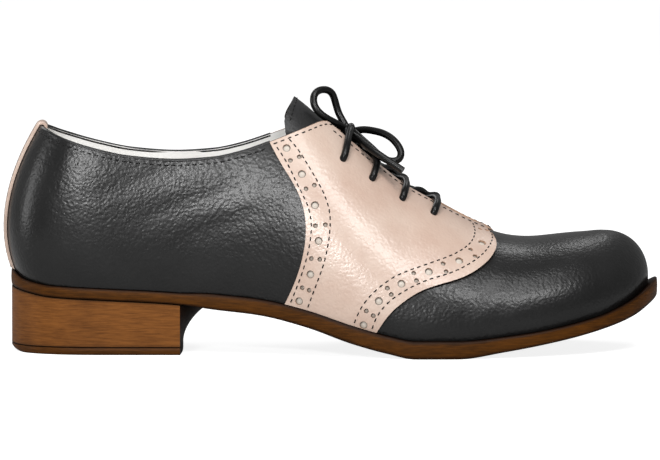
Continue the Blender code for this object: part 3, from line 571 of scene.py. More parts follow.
def on_far_side(place):
    """The place of the medial side that has a place's length and height."""
    return on_form(Vector((place.x, OUTSIDE, place.z)), Vector((0, -1, 0)))


print("toe tip, from above:", in_mm(over_form(0.2, 0.0, 0.0)))

# %% [markdown]
# ## Finishes
#
# A material begins with what the real thing is and how its surface was made. The helper below adds one node
# with its settings and links. A number that is the same all over a surface is set on the shader itself.

# %% Helpers for materials


def from_hex(code):
    """An sRGB hex colour as linear values."""
    values = [int(code[i : i + 2], 16) / 255 for i in (0, 2, 4)]
    linear = [v / 12.92 if v <= 0.04045 else ((v + 0.055) / 1.055) ** 2.4 for v in values]
    return (*linear, 1.0)


def node(tree, kind, inputs, stops=None, **settings):
    """Adds a shader node. An input is a value or the output of another node, stops are those of a ramp."""
    made = tree.nodes.new("ShaderNode" + kind)
    for key, value in settings.items():
        setattr(made, key, value)
    for key, value in inputs.items():
        if isinstance(value, bpy.types.NodeSocket):
            tree.links.new(value, made.inputs[key])
        else:
            made.inputs[key].default_value = value
    if stops:
        ramp = made.color_ramp
        while len(ramp.elements) < len(stops):
            ramp.elements.new(0.5)
        for element, (place, colour) in zip(ramp.elements, stops):
            element.position = place
            element.color = colour
    return made


def finish(name, **settings):
    """A new material and its shader, with the sockets that are the same all over set."""
    made = bpy.data.materials.new(name)
    made.use_nodes = True
    shader = made.node_tree.nodes["Principled BSDF"]
    for key, value in settings.items():
        shader.inputs[key.replace("_", " ")].default_value = value
    return made, made.node_tree, shader


def grey(value):
    return (value, value, value, 1.0)


def darker(code, share):
    return [share * value for value in from_hex(code)[:3]] + [1.0]


def object_place(tree):
    return node(tree, "TexCoord", {}).outputs["Object"]


def stored_share(tree):
    """The share from 0 to 1 that is stored on the points of a mesh."""
    return node(tree, "Attribute", {}, attribute_name="rise").outputs["Fac"]


def noise(tree, place, size, detail, rough=0.5):
    """Noise whose waves are about size metres long."""
    return node(tree, "TexNoise", {"Vector": place, "Scale": 1 / size, "Detail": detail, "Roughness": rough})


def ramp(tree, factor, *stops):
    return node(tree, "ValToRGB", {"Fac": factor}, stops=stops).outputs["Color"]


def math_node(tree, operation, *values):
    return node(tree, "Math", dict(enumerate(values)), operation=operation).outputs[0]


def wire(tree, shader, colour, height, strength, depth):
    """Gives the shader its colour and a bump of that depth in metres, and returns the bumped normal."""
    bump = node(tree, "Bump", {"Height": height, "Strength": strength, "Distance": depth})
    tree.links.new(colour, shader.inputs["Base Color"])
    tree.links.new(bump.outputs["Normal"], shader.inputs["Normal"])
    return bump.outputs["Normal"]


print("helpers ready")

# %% [markdown]
# Smooth calf leather is dyed through, creamed and polished. It keeps a fine pebbled grain of cells little
# more than a millimetre wide, which shows only where a light is reflected, so it is made by bump and a little
# variation of the roughness. A thin coat stands for the polish. Cells are drawn by a Voronoi texture whose
# coordinates a noise has shaken, since real grain is never regular.

# %% Leather
GRAIN = 0.0013  # width of a cell
PEBBLE_DEPTH = 0.00012
SHAKE = 1 / 260  # waves of 3.8 mm move the cells about
SHAKE_REACH = 0.0022
FOLD = 1 / 240  # 4.2 mm, fine folds between the cells
CLOUD = 1 / 38  # 26 mm, cloudy dye and polish


def leather(name, light, dark, roughness, strength, specular, coat):
    """Polished calf of two near colours."""
    made, tree, shader = finish(
        name, IOR=1.5, Specular_IOR_Level=specular, Coat_Weight=coat, Coat_Roughness=0.22, Coat_IOR=1.45
    )
    place = object_place(tree)
    shake = noise(tree, place, SHAKE, 2.0).outputs["Color"]
    moved = node(tree, "VectorMath", {0: shake, 1: [SHAKE_REACH] * 3, 2: place}, operation="MULTIPLY_ADD")
    cells = node(tree, "TexVoronoi", {"Vector": moved.outputs[0], "Scale": 1 / GRAIN}, feature="SMOOTH_F1")
    folds = noise(tree, place, FOLD, 4.0, 0.6).outputs["Fac"]
    relief = math_node(tree, "ADD", folds, cells.outputs["Distance"])
    cloud = noise(tree, place, CLOUD, 5.0, 0.62).outputs["Fac"]
    tint = ramp(tree, cloud, (0.34, from_hex(dark)), (0.66, from_hex(light)))
    rough = node(tree, "MapRange", {"Value": cloud, "To Min": roughness - 0.05, "To Max": roughness + 0.07})
    tree.links.new(rough.outputs["Result"], shader.inputs["Roughness"])
    normal = wire(tree, shader, tint, relief, strength, PEBBLE_DEPTH)
    tree.links.new(normal, shader.inputs["Coat Normal"])
    return made


BLACK_CALF = leather("black_calf", "171717", "101010", 0.33, 1.0, 0.36, 0.12)
TONGUE_CALF = leather("tongue_calf", "1f1f20", "161616", 0.48, 0.8, 0.4, 0.1)
CREAM_CALF = leather("cream_calf", "cdb7a8", "c1a696", 0.36, 0.8, 0.5, 0.4)
LINING = leather("white_lining", "fdfdfc", "f6f5f3", 0.62, 0.3, 0.3, 0.0)
SOCK = leather("pale_sock", "e4dacb", "d6c9b6", 0.6, 0.35, 0.3, 0.0)
print("leathers ready")

# %% [markdown]
# A cut edge of leather shows its fibres: matt, tan and slightly darker than the face.

# %% Cut edge
SPECKLE = 1 / 2200  # 0.45 mm
NAP_DEPTH = 0.00008


def cut_edge(name, colour, roughness=0.75):
    """Matt fibres of a cut edge, with fine speckle."""
    made, tree, shader = finish(name, IOR=1.45, Roughness=roughness)
    place = object_place(tree)
    speckle = noise(tree, place, SPECKLE, 3.0).outputs["Fac"]
    shade = ramp(tree, speckle, (0.35, darker(colour, 0.72)), (0.65, from_hex(colour)))
    wire(tree, shader, shade, speckle, 0.5, NAP_DEPTH)
    return made


CREAM_EDGE = cut_edge("cream_cut_edge", "c9a58c")
BLACK_EDGE = cut_edge("black_cut_edge", "3a3735")
# painted shadow: a near-black dish round each lace hole, where the strand enters the leather
LACE_HOLE_SHADE = cut_edge("lace_hole_painted_shade", "2a2320", 0.9)
print("edges ready")

# %% [markdown]
# Sole leather is thick and pressed hard. Its edge is sanded, stained brown and waxed. A darker line along its
# upper and lower arrises is painted shade where the pieces meet. The heel is stacked from layers of the same
# leather, so its grain runs level. Both patterns follow the piece: a share from 0 at the bottom to 1 at the
# top is stored on each point of the mesh, and the grain is a noise that is drawn out along the floor.

# %% Sole edge and heel stack
FIBRE_RUN = 1 / 140  # 7 mm, how far a fibre runs level
PATCH = 1 / 45  # 22 mm, lighter and darker patches of stain
FIBRE_DEPTH = 0.00012


def waxed_edge(name, light, dark, line, roughness, fibre, margin, layers):
    """Stained and waxed leather edge: level grain, painted shade as dark lines along the arrises, and faint
    joints between the layers.
    """
    made, tree, shader = finish(name, IOR=1.45, Specular_IOR_Level=0.12, Roughness=roughness)
    place = object_place(tree)
    level = node(tree, "Mapping", {"Vector": place, "Scale": (1 / FIBRE_RUN, 1 / FIBRE_RUN, 1 / fibre)})
    grain = noise(tree, level.outputs[0], 1.0, 5.0, 0.6).outputs["Fac"]
    patches = noise(tree, place, PATCH, 3.0).outputs["Fac"]
    mixed = math_node(tree, "MULTIPLY_ADD", patches, 0.55, grain)
    tint = ramp(tree, mixed, (0.58, from_hex(dark)), (0.96, from_hex(light)))
    share = stored_share(tree)
    clear = 2.2 * margin
    # painted shade: the colour darkens to the line colour along the upper and lower arrises, where the pieces
    # meet
    arris_shade = ramp(
        tree, share,
        (0.0, grey(1.0)), (margin, grey(0.55)), (clear, grey(0.0)),
        (1.0 - clear, grey(0.0)), (1.0 - margin, grey(0.6)), (1.0, grey(1.0)),
    )
    layer = math_node(tree, "FRACT", math_node(tree, "MULTIPLY", share, layers))
    seam = ramp(tree, layer, (0.0, grey(0.45)), (0.07, grey(0.0)), (0.93, grey(0.0)), (1.0, grey(0.45)))
    shade_and_joints = math_node(tree, "MAXIMUM", arris_shade, seam)
    colour = node(tree, "Mix", {0: shade_and_joints, 6: tint, 7: from_hex(line)}, data_type="RGBA")
    wire(tree, shader, colour.outputs[2], grain, 0.55, FIBRE_DEPTH)
    return made


# the third colour of each edge is painted shade along its arrises
SOLE_EDGE = waxed_edge("sole_leather_edge", "563109", "361d03", "160802", 0.5, 0.0006, 0.10, 1.0)
HEEL_STACK = waxed_edge("stacked_heel_leather", "804f23", "5d3717", "34200f", 0.5, 0.0006, 0.012, 1.0)
TOP_PIECE_EDGE = waxed_edge("top_piece_leather", "55300a", "3c2106", "200e02", 0.5, 0.0006, 0.05, 1.0)
# painted shade: the forward faces of the heel, under the waist, take this near-black brown
BREAST_SHADE = waxed_edge("heel_breast_painted_shade", "20120a", "140b06", "0c0603", 0.45, 0.0009, 0.03, 4.0)
print("sole finishes ready")

# %% [markdown]
# The stitches are waxed black linen, the lace is a round braided cotton cord with a wax finish, and the
# punched holes show the paler backing of the leather. Their rim is darker by painted shade, and the small
# holes get a darker copy of the backing, painted shade of the narrower hole.

# %% Thread, lace and punched holes
WEAR = 0.002  # worn and fresh places of a cord
TWIST_DEPTH = 0.0001
NAP = 1 / 1500  # 0.67 mm


def cord_finish(name, code, roughness, twist):
    """Waxed fibre with a fine twist."""
    made, tree, shader = finish(
        name, IOR=1.45, Specular_IOR_Level=0.3, Roughness=roughness, Coat_Weight=0.12, Coat_Roughness=0.2
    )
    place = object_place(tree)
    fibres = node(tree, "TexVoronoi", {"Vector": place, "Scale": 1 / twist}, feature="SMOOTH_F1")
    wear = noise(tree, place, WEAR, 3.0).outputs["Fac"]
    shade = ramp(tree, wear, (0.3, darker(code, 0.7)), (0.7, from_hex(code)))
    wire(tree, shader, shade, fibres.outputs["Distance"], 0.6, TWIST_DEPTH)
    return made


def punched(name, centre, rim):
    """The floor of a punched hole: pale backing in the middle, darkened at the rim by painted shade."""
    made, tree, shader = finish(name, IOR=1.45, Roughness=0.5)
    share = stored_share(tree)
    # painted shade: the colour runs from the pale backing in the middle to the darker rim colour at the edge
    pale, shaded_rim = from_hex(centre), from_hex(rim)
    shade = ramp(tree, share, (0.0, pale), (0.55, pale), (0.9, shaded_rim), (1.0, shaded_rim))
    place = object_place(tree)
    wire(tree, shader, shade, noise(tree, place, NAP, 2.0).outputs["Fac"], 0.5, NAP_DEPTH)
    return made


THREAD = cord_finish("waxed_linen_thread", "040404", 0.5, 0.0004)
LACE_CORD = cord_finish("waxed_cotton_lace", "060606", 0.34, 0.0006)
PUNCHED_LARGE = punched("punched_backing_large", "cbc3b8", "7d746a")
# painted shade: the small holes' backing is a darker copy of the large holes'
PUNCHED_SMALL = punched("punched_backing_small", "a59d93", "5f574f")
print("thread, lace and holes ready")

# %% [markdown]
# ## Meshes
#
# Each piece is a closed skin. A shell lies between two offsets of the form, a slab is built up from a grid
# through rings to another grid, and a prism on an outline cuts them, as a knife cuts the leather.

# %% Mesh helpers


def add_piece(name, mesh, finishes, stands_for=()):
    """Puts a mesh into the scene as a piece of the shoe."""
    for each in finishes:
        mesh.materials.append(each)
    made = put(name, mesh)
    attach(made, "root")
    if stands_for:
        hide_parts(*stands_for)
    return made


SHARP = 35.0  # degrees, the edges that stay sharp on cut leather


def mesh_from(name, points, faces, marks=None, sharp=SHARP, rises=None):
    """A closed mesh, smooth between its sharp edges. marks is a material number for each face, rises a share
    for each point, which a finish can read."""
    shape = bmesh.new()
    corners = [shape.verts.new(point) for point in points]
    for number, face in enumerate(faces):
        made = shape.faces.new([corners[i] for i in face])
        if marks:
            made.material_index = marks[number]
    bmesh.ops.recalc_face_normals(shape, faces=shape.faces)
    mesh = bpy.data.meshes.new(name)
    shape.to_mesh(mesh)
    shape.free()
    mesh.shade_smooth()
    mesh.set_sharp_from_angle(angle=math.radians(sharp))
    if rises:
        mesh.attributes.new("rise", "FLOAT", "POINT").data.foreach_set("value", rises)
    return mesh


def shell_mesh(name, near, far, ranges=((0, RING),), low=0, inside=0, rim=0):
    """The leather between two offsets of the form, from row low up, down to the sole at the feather line."""
    outer = [face for first, last in ranges for face in form_faces(first, last, low, FORM_ROWS)]
    keys = sorted({key for face in outer for key in face})
    points = []
    for offset in (far, near):
        for key in keys:
            point = FORM_POINTS[key] + FORM_NORMALS[key] * offset
            if key < RING:
                point.z = sole_top(point.x) + CLEARANCE
            points.append(point)
    order = {key: i for i, key in enumerate(keys)}
    count = len(keys)
    faces = [[order[key] for key in face] for face in outer]
    edges = dict.fromkeys((a, b) for face in faces for a, b in zip(face, face[1:] + face[:1]))
    rims = [[b, a, a + count, b + count] for a, b in edges if (b, a) not in edges]
    inner = [[i + count for i in reversed(face)] for face in faces]
    marks = [0] * len(faces) + [inside] * len(inner) + [rim] * len(rims)
    return mesh_from(name, points, faces + inner + rims, marks)


def prism(name, outline, direction, start, end, mark=0):
    """A cutting prism on a closed outline of (a, b) pairs, along y over (x, z) or along z over (x, y)."""
    points = []
    for way in (start, end):
        points += [(a, way, b) if direction == "y" else (a, b, way) for a, b in outline]
    count = len(outline)
    faces = [list(range(count)), list(range(2 * count - 1, count - 1, -1))]
    faces += [[i, (i + 1) % count, (i + 1) % count + count, i + count] for i in range(count)]
    mesh = mesh_from(name, points, faces, [mark] * len(faces))
    return put(name, mesh)


def cut_with(target, operation, other):
    """Applies a Boolean to the target and leaves the other shape as it is."""
    change = target.modifiers.new("cut", "BOOLEAN")
    change.operation = operation
    change.solver = "EXACT"
    change.object = other
    deselect()
    bpy.context.view_layer.objects.active = target
    target.select_set(True)
    bpy.ops.object.modifier_apply(modifier="cut")


def remove(*things):
    for thing in things:
        bpy.data.objects.remove(thing, do_unlink=True)


def smooth_again(piece):
    piece.data.shade_smooth()
    piece.data.set_sharp_from_angle(angle=math.radians(SHARP))


def round_ring(centre, first, second, radius, sides):
    """Points of a circle in the plane of two directions."""
    angles = [2 * math.pi * k / sides for k in range(sides)]
    return [centre + (first * math.cos(angle) + second * math.sin(angle)) * radius for angle in angles]


def ring_faces(base, rings, sides):
    """Faces that join a row of rings, whose points are numbered from base."""
    faces = []
    for start in range(base, base + (rings - 1) * sides, sides):
        for k in range(sides):
            after = (k + 1) % sides
            faces.append([start + k, start + after, start + after + sides, start + k + sides])
    return faces


def rounded(places, spacing):
    """Points about spacing apart on a smooth curve through places, which are vectors."""
    way = [0.0]
    for here, there in zip(places, places[1:]):
        way.append(way[-1] + (there - here).length)
    axes = [free(way, [place[i] for place in places]) for i in range(len(places[0]))]
    steps = max(2, round(way[-1] / spacing))
    return [Vector([axis(way[-1] * i / steps) for axis in axes]) for i in range(steps + 1)]


print("mesh helpers ready")

# %% Slabs


def slab(name, levels, share):
    """A closed mesh from a bottom grid up through rings to a top grid, with each point's share of the rise.

    A grid is a list of rows from back to front, each from the lateral to the medial edge. A row of one point
    is a pointed end. A ring is the same boundary at a level between the two grids.
    """

    def boundary(grid):
        medial = [row[-1] for row in reversed(grid[:-1]) if len(row) > 1]
        return [row[0] for row in grid] + grid[-1][1:] + medial + grid[0][-2:0:-1]

    points = []
    faces = []

    def number(grid):
        rows = []
        for row in grid:
            rows.append([len(points) + i for i in range(len(row))])
            points.extend(row)
        for here, there in zip(rows, rows[1:]):
            for j in range(max(len(here), len(there)) - 1):
                corners = [here[min(j, len(here) - 1)], there[min(j, len(there) - 1)]]
                corners += [there[min(j + 1, len(there) - 1)], here[min(j + 1, len(here) - 1)]]
                faces.append(list(dict.fromkeys(corners)))
        return boundary(rows)

    loops = [number(levels[0])]
    for ring in levels[1:-1]:
        loops.append([len(points) + i for i in range(len(boundary(ring)))])
        points.extend(boundary(ring))
    loops.append(number(levels[-1]))
    for lower, over in zip(loops, loops[1:]):
        for i in range(len(lower)):
            after = (i + 1) % len(lower)
            faces.append([lower[i], lower[after], over[after], over[i]])
    return mesh_from(name, points, faces, sharp=50.0, rises=[share(point) for point in points])


print("slab ready")

# %% [markdown]
# ## Sole
#
# The outsole is cut a little larger than the upper, with a ledge that narrows at the waist and the heel. Its
# edge is sanded slightly round. A slab fits it: two flat grids joined by rings that carry the rounded
# profile of the edge.

# %% Outsole


def outline_point(along, side, beyond):
    """A point of the feather line, moved outward in plan by beyond."""
    step = 0.002  # share of the feather line
    span = [
        Vector((LENGTH * feather["x"](t), BALL_WIDTH * feather[side](t)))
        for t in (clamp(along - step), along, clamp(along + step))
    ]
    run = span[2] - span[0]
    if along in (0.0, 1.0):
        normal = Vector((2 * along - 1, 0))
    else:
        normal = Vector((run.y, -run.x)) if side == "lateral" else Vector((-run.y, run.x))
        normal.normalize()
    return span[1] + normal * beyond


def sole_plan(along, side, inset):
    return outline_point(along, side, LEDGE * feather["ledge"](along) - inset)


def row_across(along, inset, steps):
    """Places in plan from the lateral to the medial edge of the sole. At its two tips they are one."""
    lateral = sole_plan(along, "lateral", inset)
    if along in (0.0, 1.0):
        return [lateral]
    medial = sole_plan(along, "medial", inset)
    return [lateral.lerp(medial, j / steps) for j in range(steps + 1)]


# share of the sole's thickness, and how far the edge stands in from its widest line
EDGE_PROFILE = (
    (0.0, 0.0007), (0.07, 0.00025), (0.2, 0.0001), (0.5, 0.0), (0.8, 0.0001), (0.93, 0.00025), (1.0, 0.0007),
)


def sole_level(share, inset):
    grid = []
    for along in STATIONS:
        row = row_across(along, inset, 2)
        grid.append([Vector((*place, sole_bottom(place.x) + sole_gauge(place.x) * share)) for place in row])
    return grid


levels = [sole_level(share, inset) for share, inset in EDGE_PROFILE]
sole_mesh = slab("sole", levels, lambda place: clamp((place.z - sole_bottom(place.x)) / sole_gauge(place.x)))
sole = add_piece("sole", sole_mesh, [SOLE_EDGE], ["outsole"])
print("sole faces:", len(sole.data.polygons))

# %% [markdown]
# ## Heel
#
# Layers of leather are pegged together, sanded to the outline of the sole and closed with a harder top
# piece. The front of the heel, its breast, bulges forward under the waist of the shoe. The layers are one
# slab here, and the finish draws their joints only on the breast.

# %% Heel stack and top piece
HEEL_STATIONS = 44
HEEL_ACROSS = 16
HEEL_EVEN = 0.35  # share of even spacing, the rest crowds the stations at back and breast
LIP_AT_FLOOR = 0.08  # bulge of the breast at the floor, share of BREAST_LIP
LIP_CURVE = 1.8
LIFT_ROUND = 0.0003  # rounding of the upper edge of the top piece
LIFT_WORN = 0.0005  # and of its lower edge


def breast_way():
    """Way along the feather line at which the heel breast meets the outline."""
    low, high = 0.0, 0.5
    for _ in range(40):
        middle = (low + high) / 2
        low, high = (middle, high) if feather["x"](middle) < BREAST_AT else (low, middle)
    return low


BREAST_WAY = breast_way()


def heel_grid(height, inset, level):
    """One level of the heel. level is its share of the heel's height, which shapes the breast."""
    lip = BREAST_LIP * (LIP_AT_FLOOR + (1 - LIP_AT_FLOOR) * level**LIP_CURVE)
    grid = []
    for i in range(HEEL_STATIONS + 1):
        share = math.sin(math.pi / 2 * i / HEEL_STATIONS) ** 2
        along = BREAST_WAY * (HEEL_EVEN * i / HEEL_STATIONS + (1 - HEEL_EVEN) * share)
        row = []
        for j, place in enumerate(row_across(along, inset, HEEL_ACROSS)):
            across = 2 * j / HEEL_ACROSS - 1
            x = place.x + lip * (1 - across**2) * (i / HEEL_STATIONS) ** 3
            row.append(Vector((x, place.y, height(x))))
        grid.append(row)
    return grid


def heel_lift(x):
    """How far the underside of the heel is rounded up at x, at the very back."""
    end = LENGTH * SOLE_PROFILE[0].x
    start = LENGTH * SOLE_PROFILE[1].x
    return HEEL_ROUND * max(0.0, (x - start) / (end - start)) ** 2


STACK_FROM = TOP_PIECE + CLEARANCE


def stack_height(level):
    return lambda x: STACK_FROM + (sole_bottom(x) - CLEARANCE - STACK_FROM) * level


def stack_share(place):
    return clamp((place.z - STACK_FROM) / (sole_bottom(place.x) - CLEARANCE - STACK_FROM))


def mark_breast_shade(mesh):
    """Gives the faces that look forward the second finish, a near-black brown that is painted shade under the
    waist.
    """
    for face in mesh.polygons:
        if face.normal.x > 0.5 and face.center.x > 0.0:
            face.material_index = 1


STACK_LEVELS = 10
grids = []
for number in range(STACK_LEVELS + 1):
    level = number / STACK_LEVELS
    grids.append(heel_grid(stack_height(level), HEEL_INSET, level))
stack_mesh = slab("heel_stack", grids, stack_share)
mark_breast_shade(stack_mesh)
stack = add_piece("heel_stack", stack_mesh, [HEEL_STACK, BREAST_SHADE], ["heel_block"])

lift_levels = [
    heel_grid(heel_lift, HEEL_INSET + LIFT_WORN, 0.0),
    heel_grid(lambda x: heel_lift(x) + LIFT_WORN, HEEL_INSET, 0.0),
    heel_grid(lambda x: TOP_PIECE - LIFT_ROUND, HEEL_INSET, 0.0),
    heel_grid(lambda x: TOP_PIECE, HEEL_INSET + LIFT_ROUND, 0.0),
]
lift_mesh = slab("heel_lift", lift_levels, lambda place: clamp(place.z / TOP_PIECE))
mark_breast_shade(lift_mesh)
lift = add_piece("heel_lift", lift_mesh, [TOP_PIECE_EDGE, BREAST_SHADE], ["heel_top_piece"])
print("heel faces:", len(stack.data.polygons), "lift faces:", len(lift.data.polygons))

# %% [markdown]
# The sock covers the insole board inside. Its solid already has the right shape, so only its finish changes.

# %% Sock
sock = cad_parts["insole"]
sock.data.materials.clear()
sock.data.materials.append(SOCK)

# %% [markdown]
# ## Upper
#
# The quarters and the vamp are cut from black calf and lined in white. One smooth shell stands for both,
# because no seam between them shows. Its inner skin takes the lining, and a knife shape opens it along the
# topline and between the lace facings.

# %% Knife shapes


def side_view(edge, base):
    """Places in the side view for a table of edges, with heights above base."""
    return [Vector((LENGTH * row.x, base(LENGTH * row.x, row.height))) for row in edge]


def edge_line(edge, base):
    """(x, z) at a fine spacing on a smooth curve through a table of edges."""
    return [tuple(point) for point in rounded(side_view(edge, base), FINE)]


def over_seat(_, height):
    return SEAT + BACK_HEIGHT * height


def over_sole(x, height):
    return sole_top(x) + INSTEP_HEIGHT * height


FINE = 0.0015  # spacing of points along a knife
CUT_HALF = 0.08  # half the width of a knife shape
CUT_TOP = 0.2
CUT_BELOW = -0.01
THROAT_DEPTH = 0.3  # share of INSTEP_HEIGHT, above the sole, that the throat is cut down to


def ridge_y(x):
    """Sideways place of the ridge at x."""
    ridge = TOPS[RIDGE_SECTION:]
    return BALL_WIDTH * float(np.interp(x / LENGTH, column(ridge, "x"), column(ridge, "lateral")))


def throat_half(x):
    """Half the gap between the facings at x."""
    rear = LENGTH * THROAT_FROM
    front = LENGTH * THROAT_END - THROAT_HALF_FRONT
    share = clamp((x - rear) / (front - rear))
    return THROAT_HALF_REAR + (THROAT_HALF_FRONT - THROAT_HALF_REAR) * share


def topline_knife():
    line = edge_line(COLLAR, over_seat)
    outline = line + [(line[-1][0], CUT_TOP), (line[0][0], CUT_TOP)]
    return prism("topline_knife", outline, "y", -CUT_HALF, CUT_HALF, 2)


def throat_knife():
    """The gap between the facings, from the collar to its round front end."""
    start = LENGTH * SADDLE_SPAN[0]
    round_from = LENGTH * THROAT_END - THROAT_HALF_FRONT
    steps = 40
    corners = 12
    lateral = []
    for i in range(steps + 1):
        x = start + (round_from - start) * i / steps
        lateral.append((x, -throat_half(x)))
    for i in range(corners):
        angle = math.radians(90 * (i + 0.5) / corners)
        reach = THROAT_HALF_FRONT
        lateral.append((round_from + reach * math.sin(angle), -reach * math.cos(angle)))
    outline = lateral + [(x, -y) for x, y in reversed(lateral)]
    outline = [(x, y + ridge_y(x)) for x, y in outline]
    low = sole_top(LENGTH * THROAT_END) + THROAT_DEPTH * INSTEP_HEIGHT
    return prism("throat_knife", outline, "z", low, CUT_TOP, 2)


opening = topline_knife()
throat = throat_knife()
cut_with(opening, "UNION", throat)
print("knife faces:", len(opening.data.polygons))

# %% Upper shell
upper_mesh = shell_mesh("upper_leather", -WALL, 0.0, inside=1, rim=0)
upper = add_piece("upper_leather", upper_mesh, [BLACK_CALF, LINING, BLACK_EDGE], ["upper"])
cut_with(upper, "DIFFERENCE", opening)
smooth_again(upper)
print("upper faces:", len(upper.data.polygons))

# %% [markdown]
# ## Saddle
#
# The saddle is a second layer of cream calf on each side. Its outline is known in the side view, so a prism
# on that outline cuts it from a slightly larger shell. The two bands along its edges carry the punching: a
# large hole, then a pair of small ones, between two rows of stitches. Their places were read from the
# photograph one by one. Each is found on the leather by a ray from the camera, and again on the far
# side at the same length and height.

# %% Saddle halves


def saddle_knife(cut_out):
    rear = edge_line(SADDLE_REAR, over_sole)
    front = edge_line(SADDLE_FRONT, over_sole)
    outline = [(rear[0][0], CUT_TOP)] + rear + [(rear[-1][0], CUT_BELOW), (front[-1][0], CUT_BELOW)]
    outline += front[::-1] + [(front[0][0], CUT_TOP)]
    knife = prism("saddle_knife", outline, "y", -CUT_HALF, CUT_HALF, 1)
    cut_with(knife, "DIFFERENCE", cut_out)
    for face in knife.data.polygons:
        face.material_index = 1
    return knife


def columns_between(start, end):
    """Numbers of the form's columns that take in the feather line from start to end, shares of LENGTH."""
    ways = [feather["x"](way) for way in STATIONS]
    return max(i for i, x in enumerate(ways) if x < start), min(i for i, x in enumerate(ways) if x > end)


SADDLE_FACE = CLEARANCE + SADDLE_LEATHER
knife = saddle_knife(opening)
first, last = columns_between(*SADDLE_SPAN)
saddles = {}
for side, span in (("lateral", (first, last)), ("medial", (RING - last, RING - first))):
    mesh = shell_mesh("saddle_" + side + "_leather", CLEARANCE, SADDLE_FACE, (span,))
    half = add_piece(mesh.name, mesh, [CREAM_CALF, CREAM_EDGE], ["saddle_" + side])
    cut_with(half, "INTERSECT", knife)
    saddles[side] = half
    print(half.name, len(half.data.polygons), "faces")

# %% Punched holes
LARGE_HOLE = 0.00175  # radius
SMALL_HOLE = 0.00105
REAR_LARGE = ((287, 149.7), (302.2, 175.3), (315.1, 206.1), (319.1, 241.1), (311.3, 274), (300.3, 300.2))
REAR_SMALL = (
    (290.8, 162), (299.3, 158.5), (306.1, 190), (314.2, 186.5), (315.9, 226.3), (325.4, 225.5),
    (312.2, 258.4), (320.5, 259.2), (303.3, 287), (310.2, 289.5),
)
FRONT_LARGE = ((363.9, 323.6), (378.5, 300.6), (400.5, 284), (427.5, 272.7), (457.5, 262.4), (480.3, 245.4))
FRONT_SMALL = (
    (366.4, 310), (373.3, 314.5), (386.7, 288.2), (390.6, 294.3), (412.6, 273.9), (415.4, 281.2),
    (441.5, 265), (444.5, 272.7), (468.7, 251.9), (473.3, 258.4), (478.4, 232.1), (485.3, 233.3),
)
holes = []
for pixels, radius in (
    (REAR_LARGE + FRONT_LARGE, LARGE_HOLE),
    (REAR_SMALL + FRONT_SMALL, SMALL_HOLE),
):
    for pixel in pixels:
        place, normal = under_pixel(*pixel)
        holes.append(("lateral", place, normal, radius))
        far_place, far_normal = on_far_side(place)
        holes.append(("medial", far_place, far_normal, radius))
print("holes:", len(holes))

# %% [markdown]
# A punch is a round tool, so one joined mesh of short round rods cuts all the holes of a half at once. A
# shallow dish is then laid in each, which is the backing that the punch leaves.

# %% Punch
HOLE_SIDES = 20


def frame_at(normal):
    """Two directions along the leather at a place, one of them level."""
    level = Vector((0, 0, 1)).cross(normal)
    level = level.normalized() if level.length > 0.01 else Vector((1, 0, 0))
    return level, normal.cross(level).normalized()


def rods_mesh(name, places, low, high):
    points = []
    faces = []
    for place, normal, radius in places:
        level, steep = frame_at(normal)
        base = len(points)
        for lift in (low, high):
            points += round_ring(place + normal * lift, level, steep, radius, HOLE_SIDES)
        ring = list(range(base, base + HOLE_SIDES))
        faces += [ring[::-1], [i + HOLE_SIDES for i in ring]] + ring_faces(base, 2, HOLE_SIDES)
    return mesh_from(name, points, faces, [2] * len(faces))


# share of the way out from the middle, and height above the form
DISH_RINGS = ((1.02, 0.00075), (0.86, 0.00062), (0.5, 0.00078), (0.25, 0.0009))
DISH_TOP = 0.00093
DISH_UNDER = 0.0004


def dishes_mesh(name, places):
    """Shallow dishes of four rings, closed by a middle point above and one below."""
    points = []
    faces = []
    shares = []
    for place, normal, radius in places:
        level, steep = frame_at(normal)
        base = len(points)
        for out, lift in DISH_RINGS:
            points += round_ring(place + normal * lift, level, steep, radius * out, HOLE_SIDES)
            shares += [clamp(out)] * HOLE_SIDES
        faces += ring_faces(base, len(DISH_RINGS), HOLE_SIDES)
        middle = len(points)
        points += [place + normal * DISH_TOP, place + normal * DISH_UNDER]
        shares += [0.0, 1.0]
        inmost = middle - HOLE_SIDES
        for k in range(HOLE_SIDES):
            after = (k + 1) % HOLE_SIDES
            faces += [[inmost + k, inmost + after, middle], [base + after, base + k, middle + 1]]
    return mesh_from(name, points, faces, sharp=60.0, rises=shares)


PUNCH_FROM, PUNCH_TO = -0.0004, 0.003  # the punch stops just inside the upper
for side, half in saddles.items():
    places = [(place, normal, radius) for where, place, normal, radius in holes if where == side]
    rods = put("punch", rods_mesh("punch", places, PUNCH_FROM, PUNCH_TO))
    before = len(half.data.polygons)
    cut_with(half, "DIFFERENCE", rods)
    remove(rods)
    smooth_again(half)
    for radius, kind, backing in ((LARGE_HOLE, "large", PUNCHED_LARGE), (SMALL_HOLE, "small", PUNCHED_SMALL)):
        chosen = [row for row in places if row[2] == radius]
        name = "backing_" + side + "_" + kind
        add_piece(name, dishes_mesh(name, chosen), [backing])
    print(side, len(places), "holes,", before, "->", len(half.data.polygons), "faces")

# %% [markdown]
# ## Heel strip
#
# A narrow strip of cream calf covers the back seam, folds over the topline and is caught inside. Its line is
# found by rays from behind, and a half turn about the edge of the wall makes the fold.

# %% Heel strip


def behind_form(y, z):
    """The point of the form's back at (y, z), with its outward normal."""
    return on_form(Vector((-OUTSIDE, y, z)), Vector((1, 0, 0)))


topline = side_view(COLLAR, over_seat)
topline_height = monotone([p.x for p in topline], [p.y for p in topline])
STRIP_UP = 34
STRIP_OVER = 10
STRIP_ACROSS = 10
STRIP_ROUND = 0.0003  # rounding of its upper edges


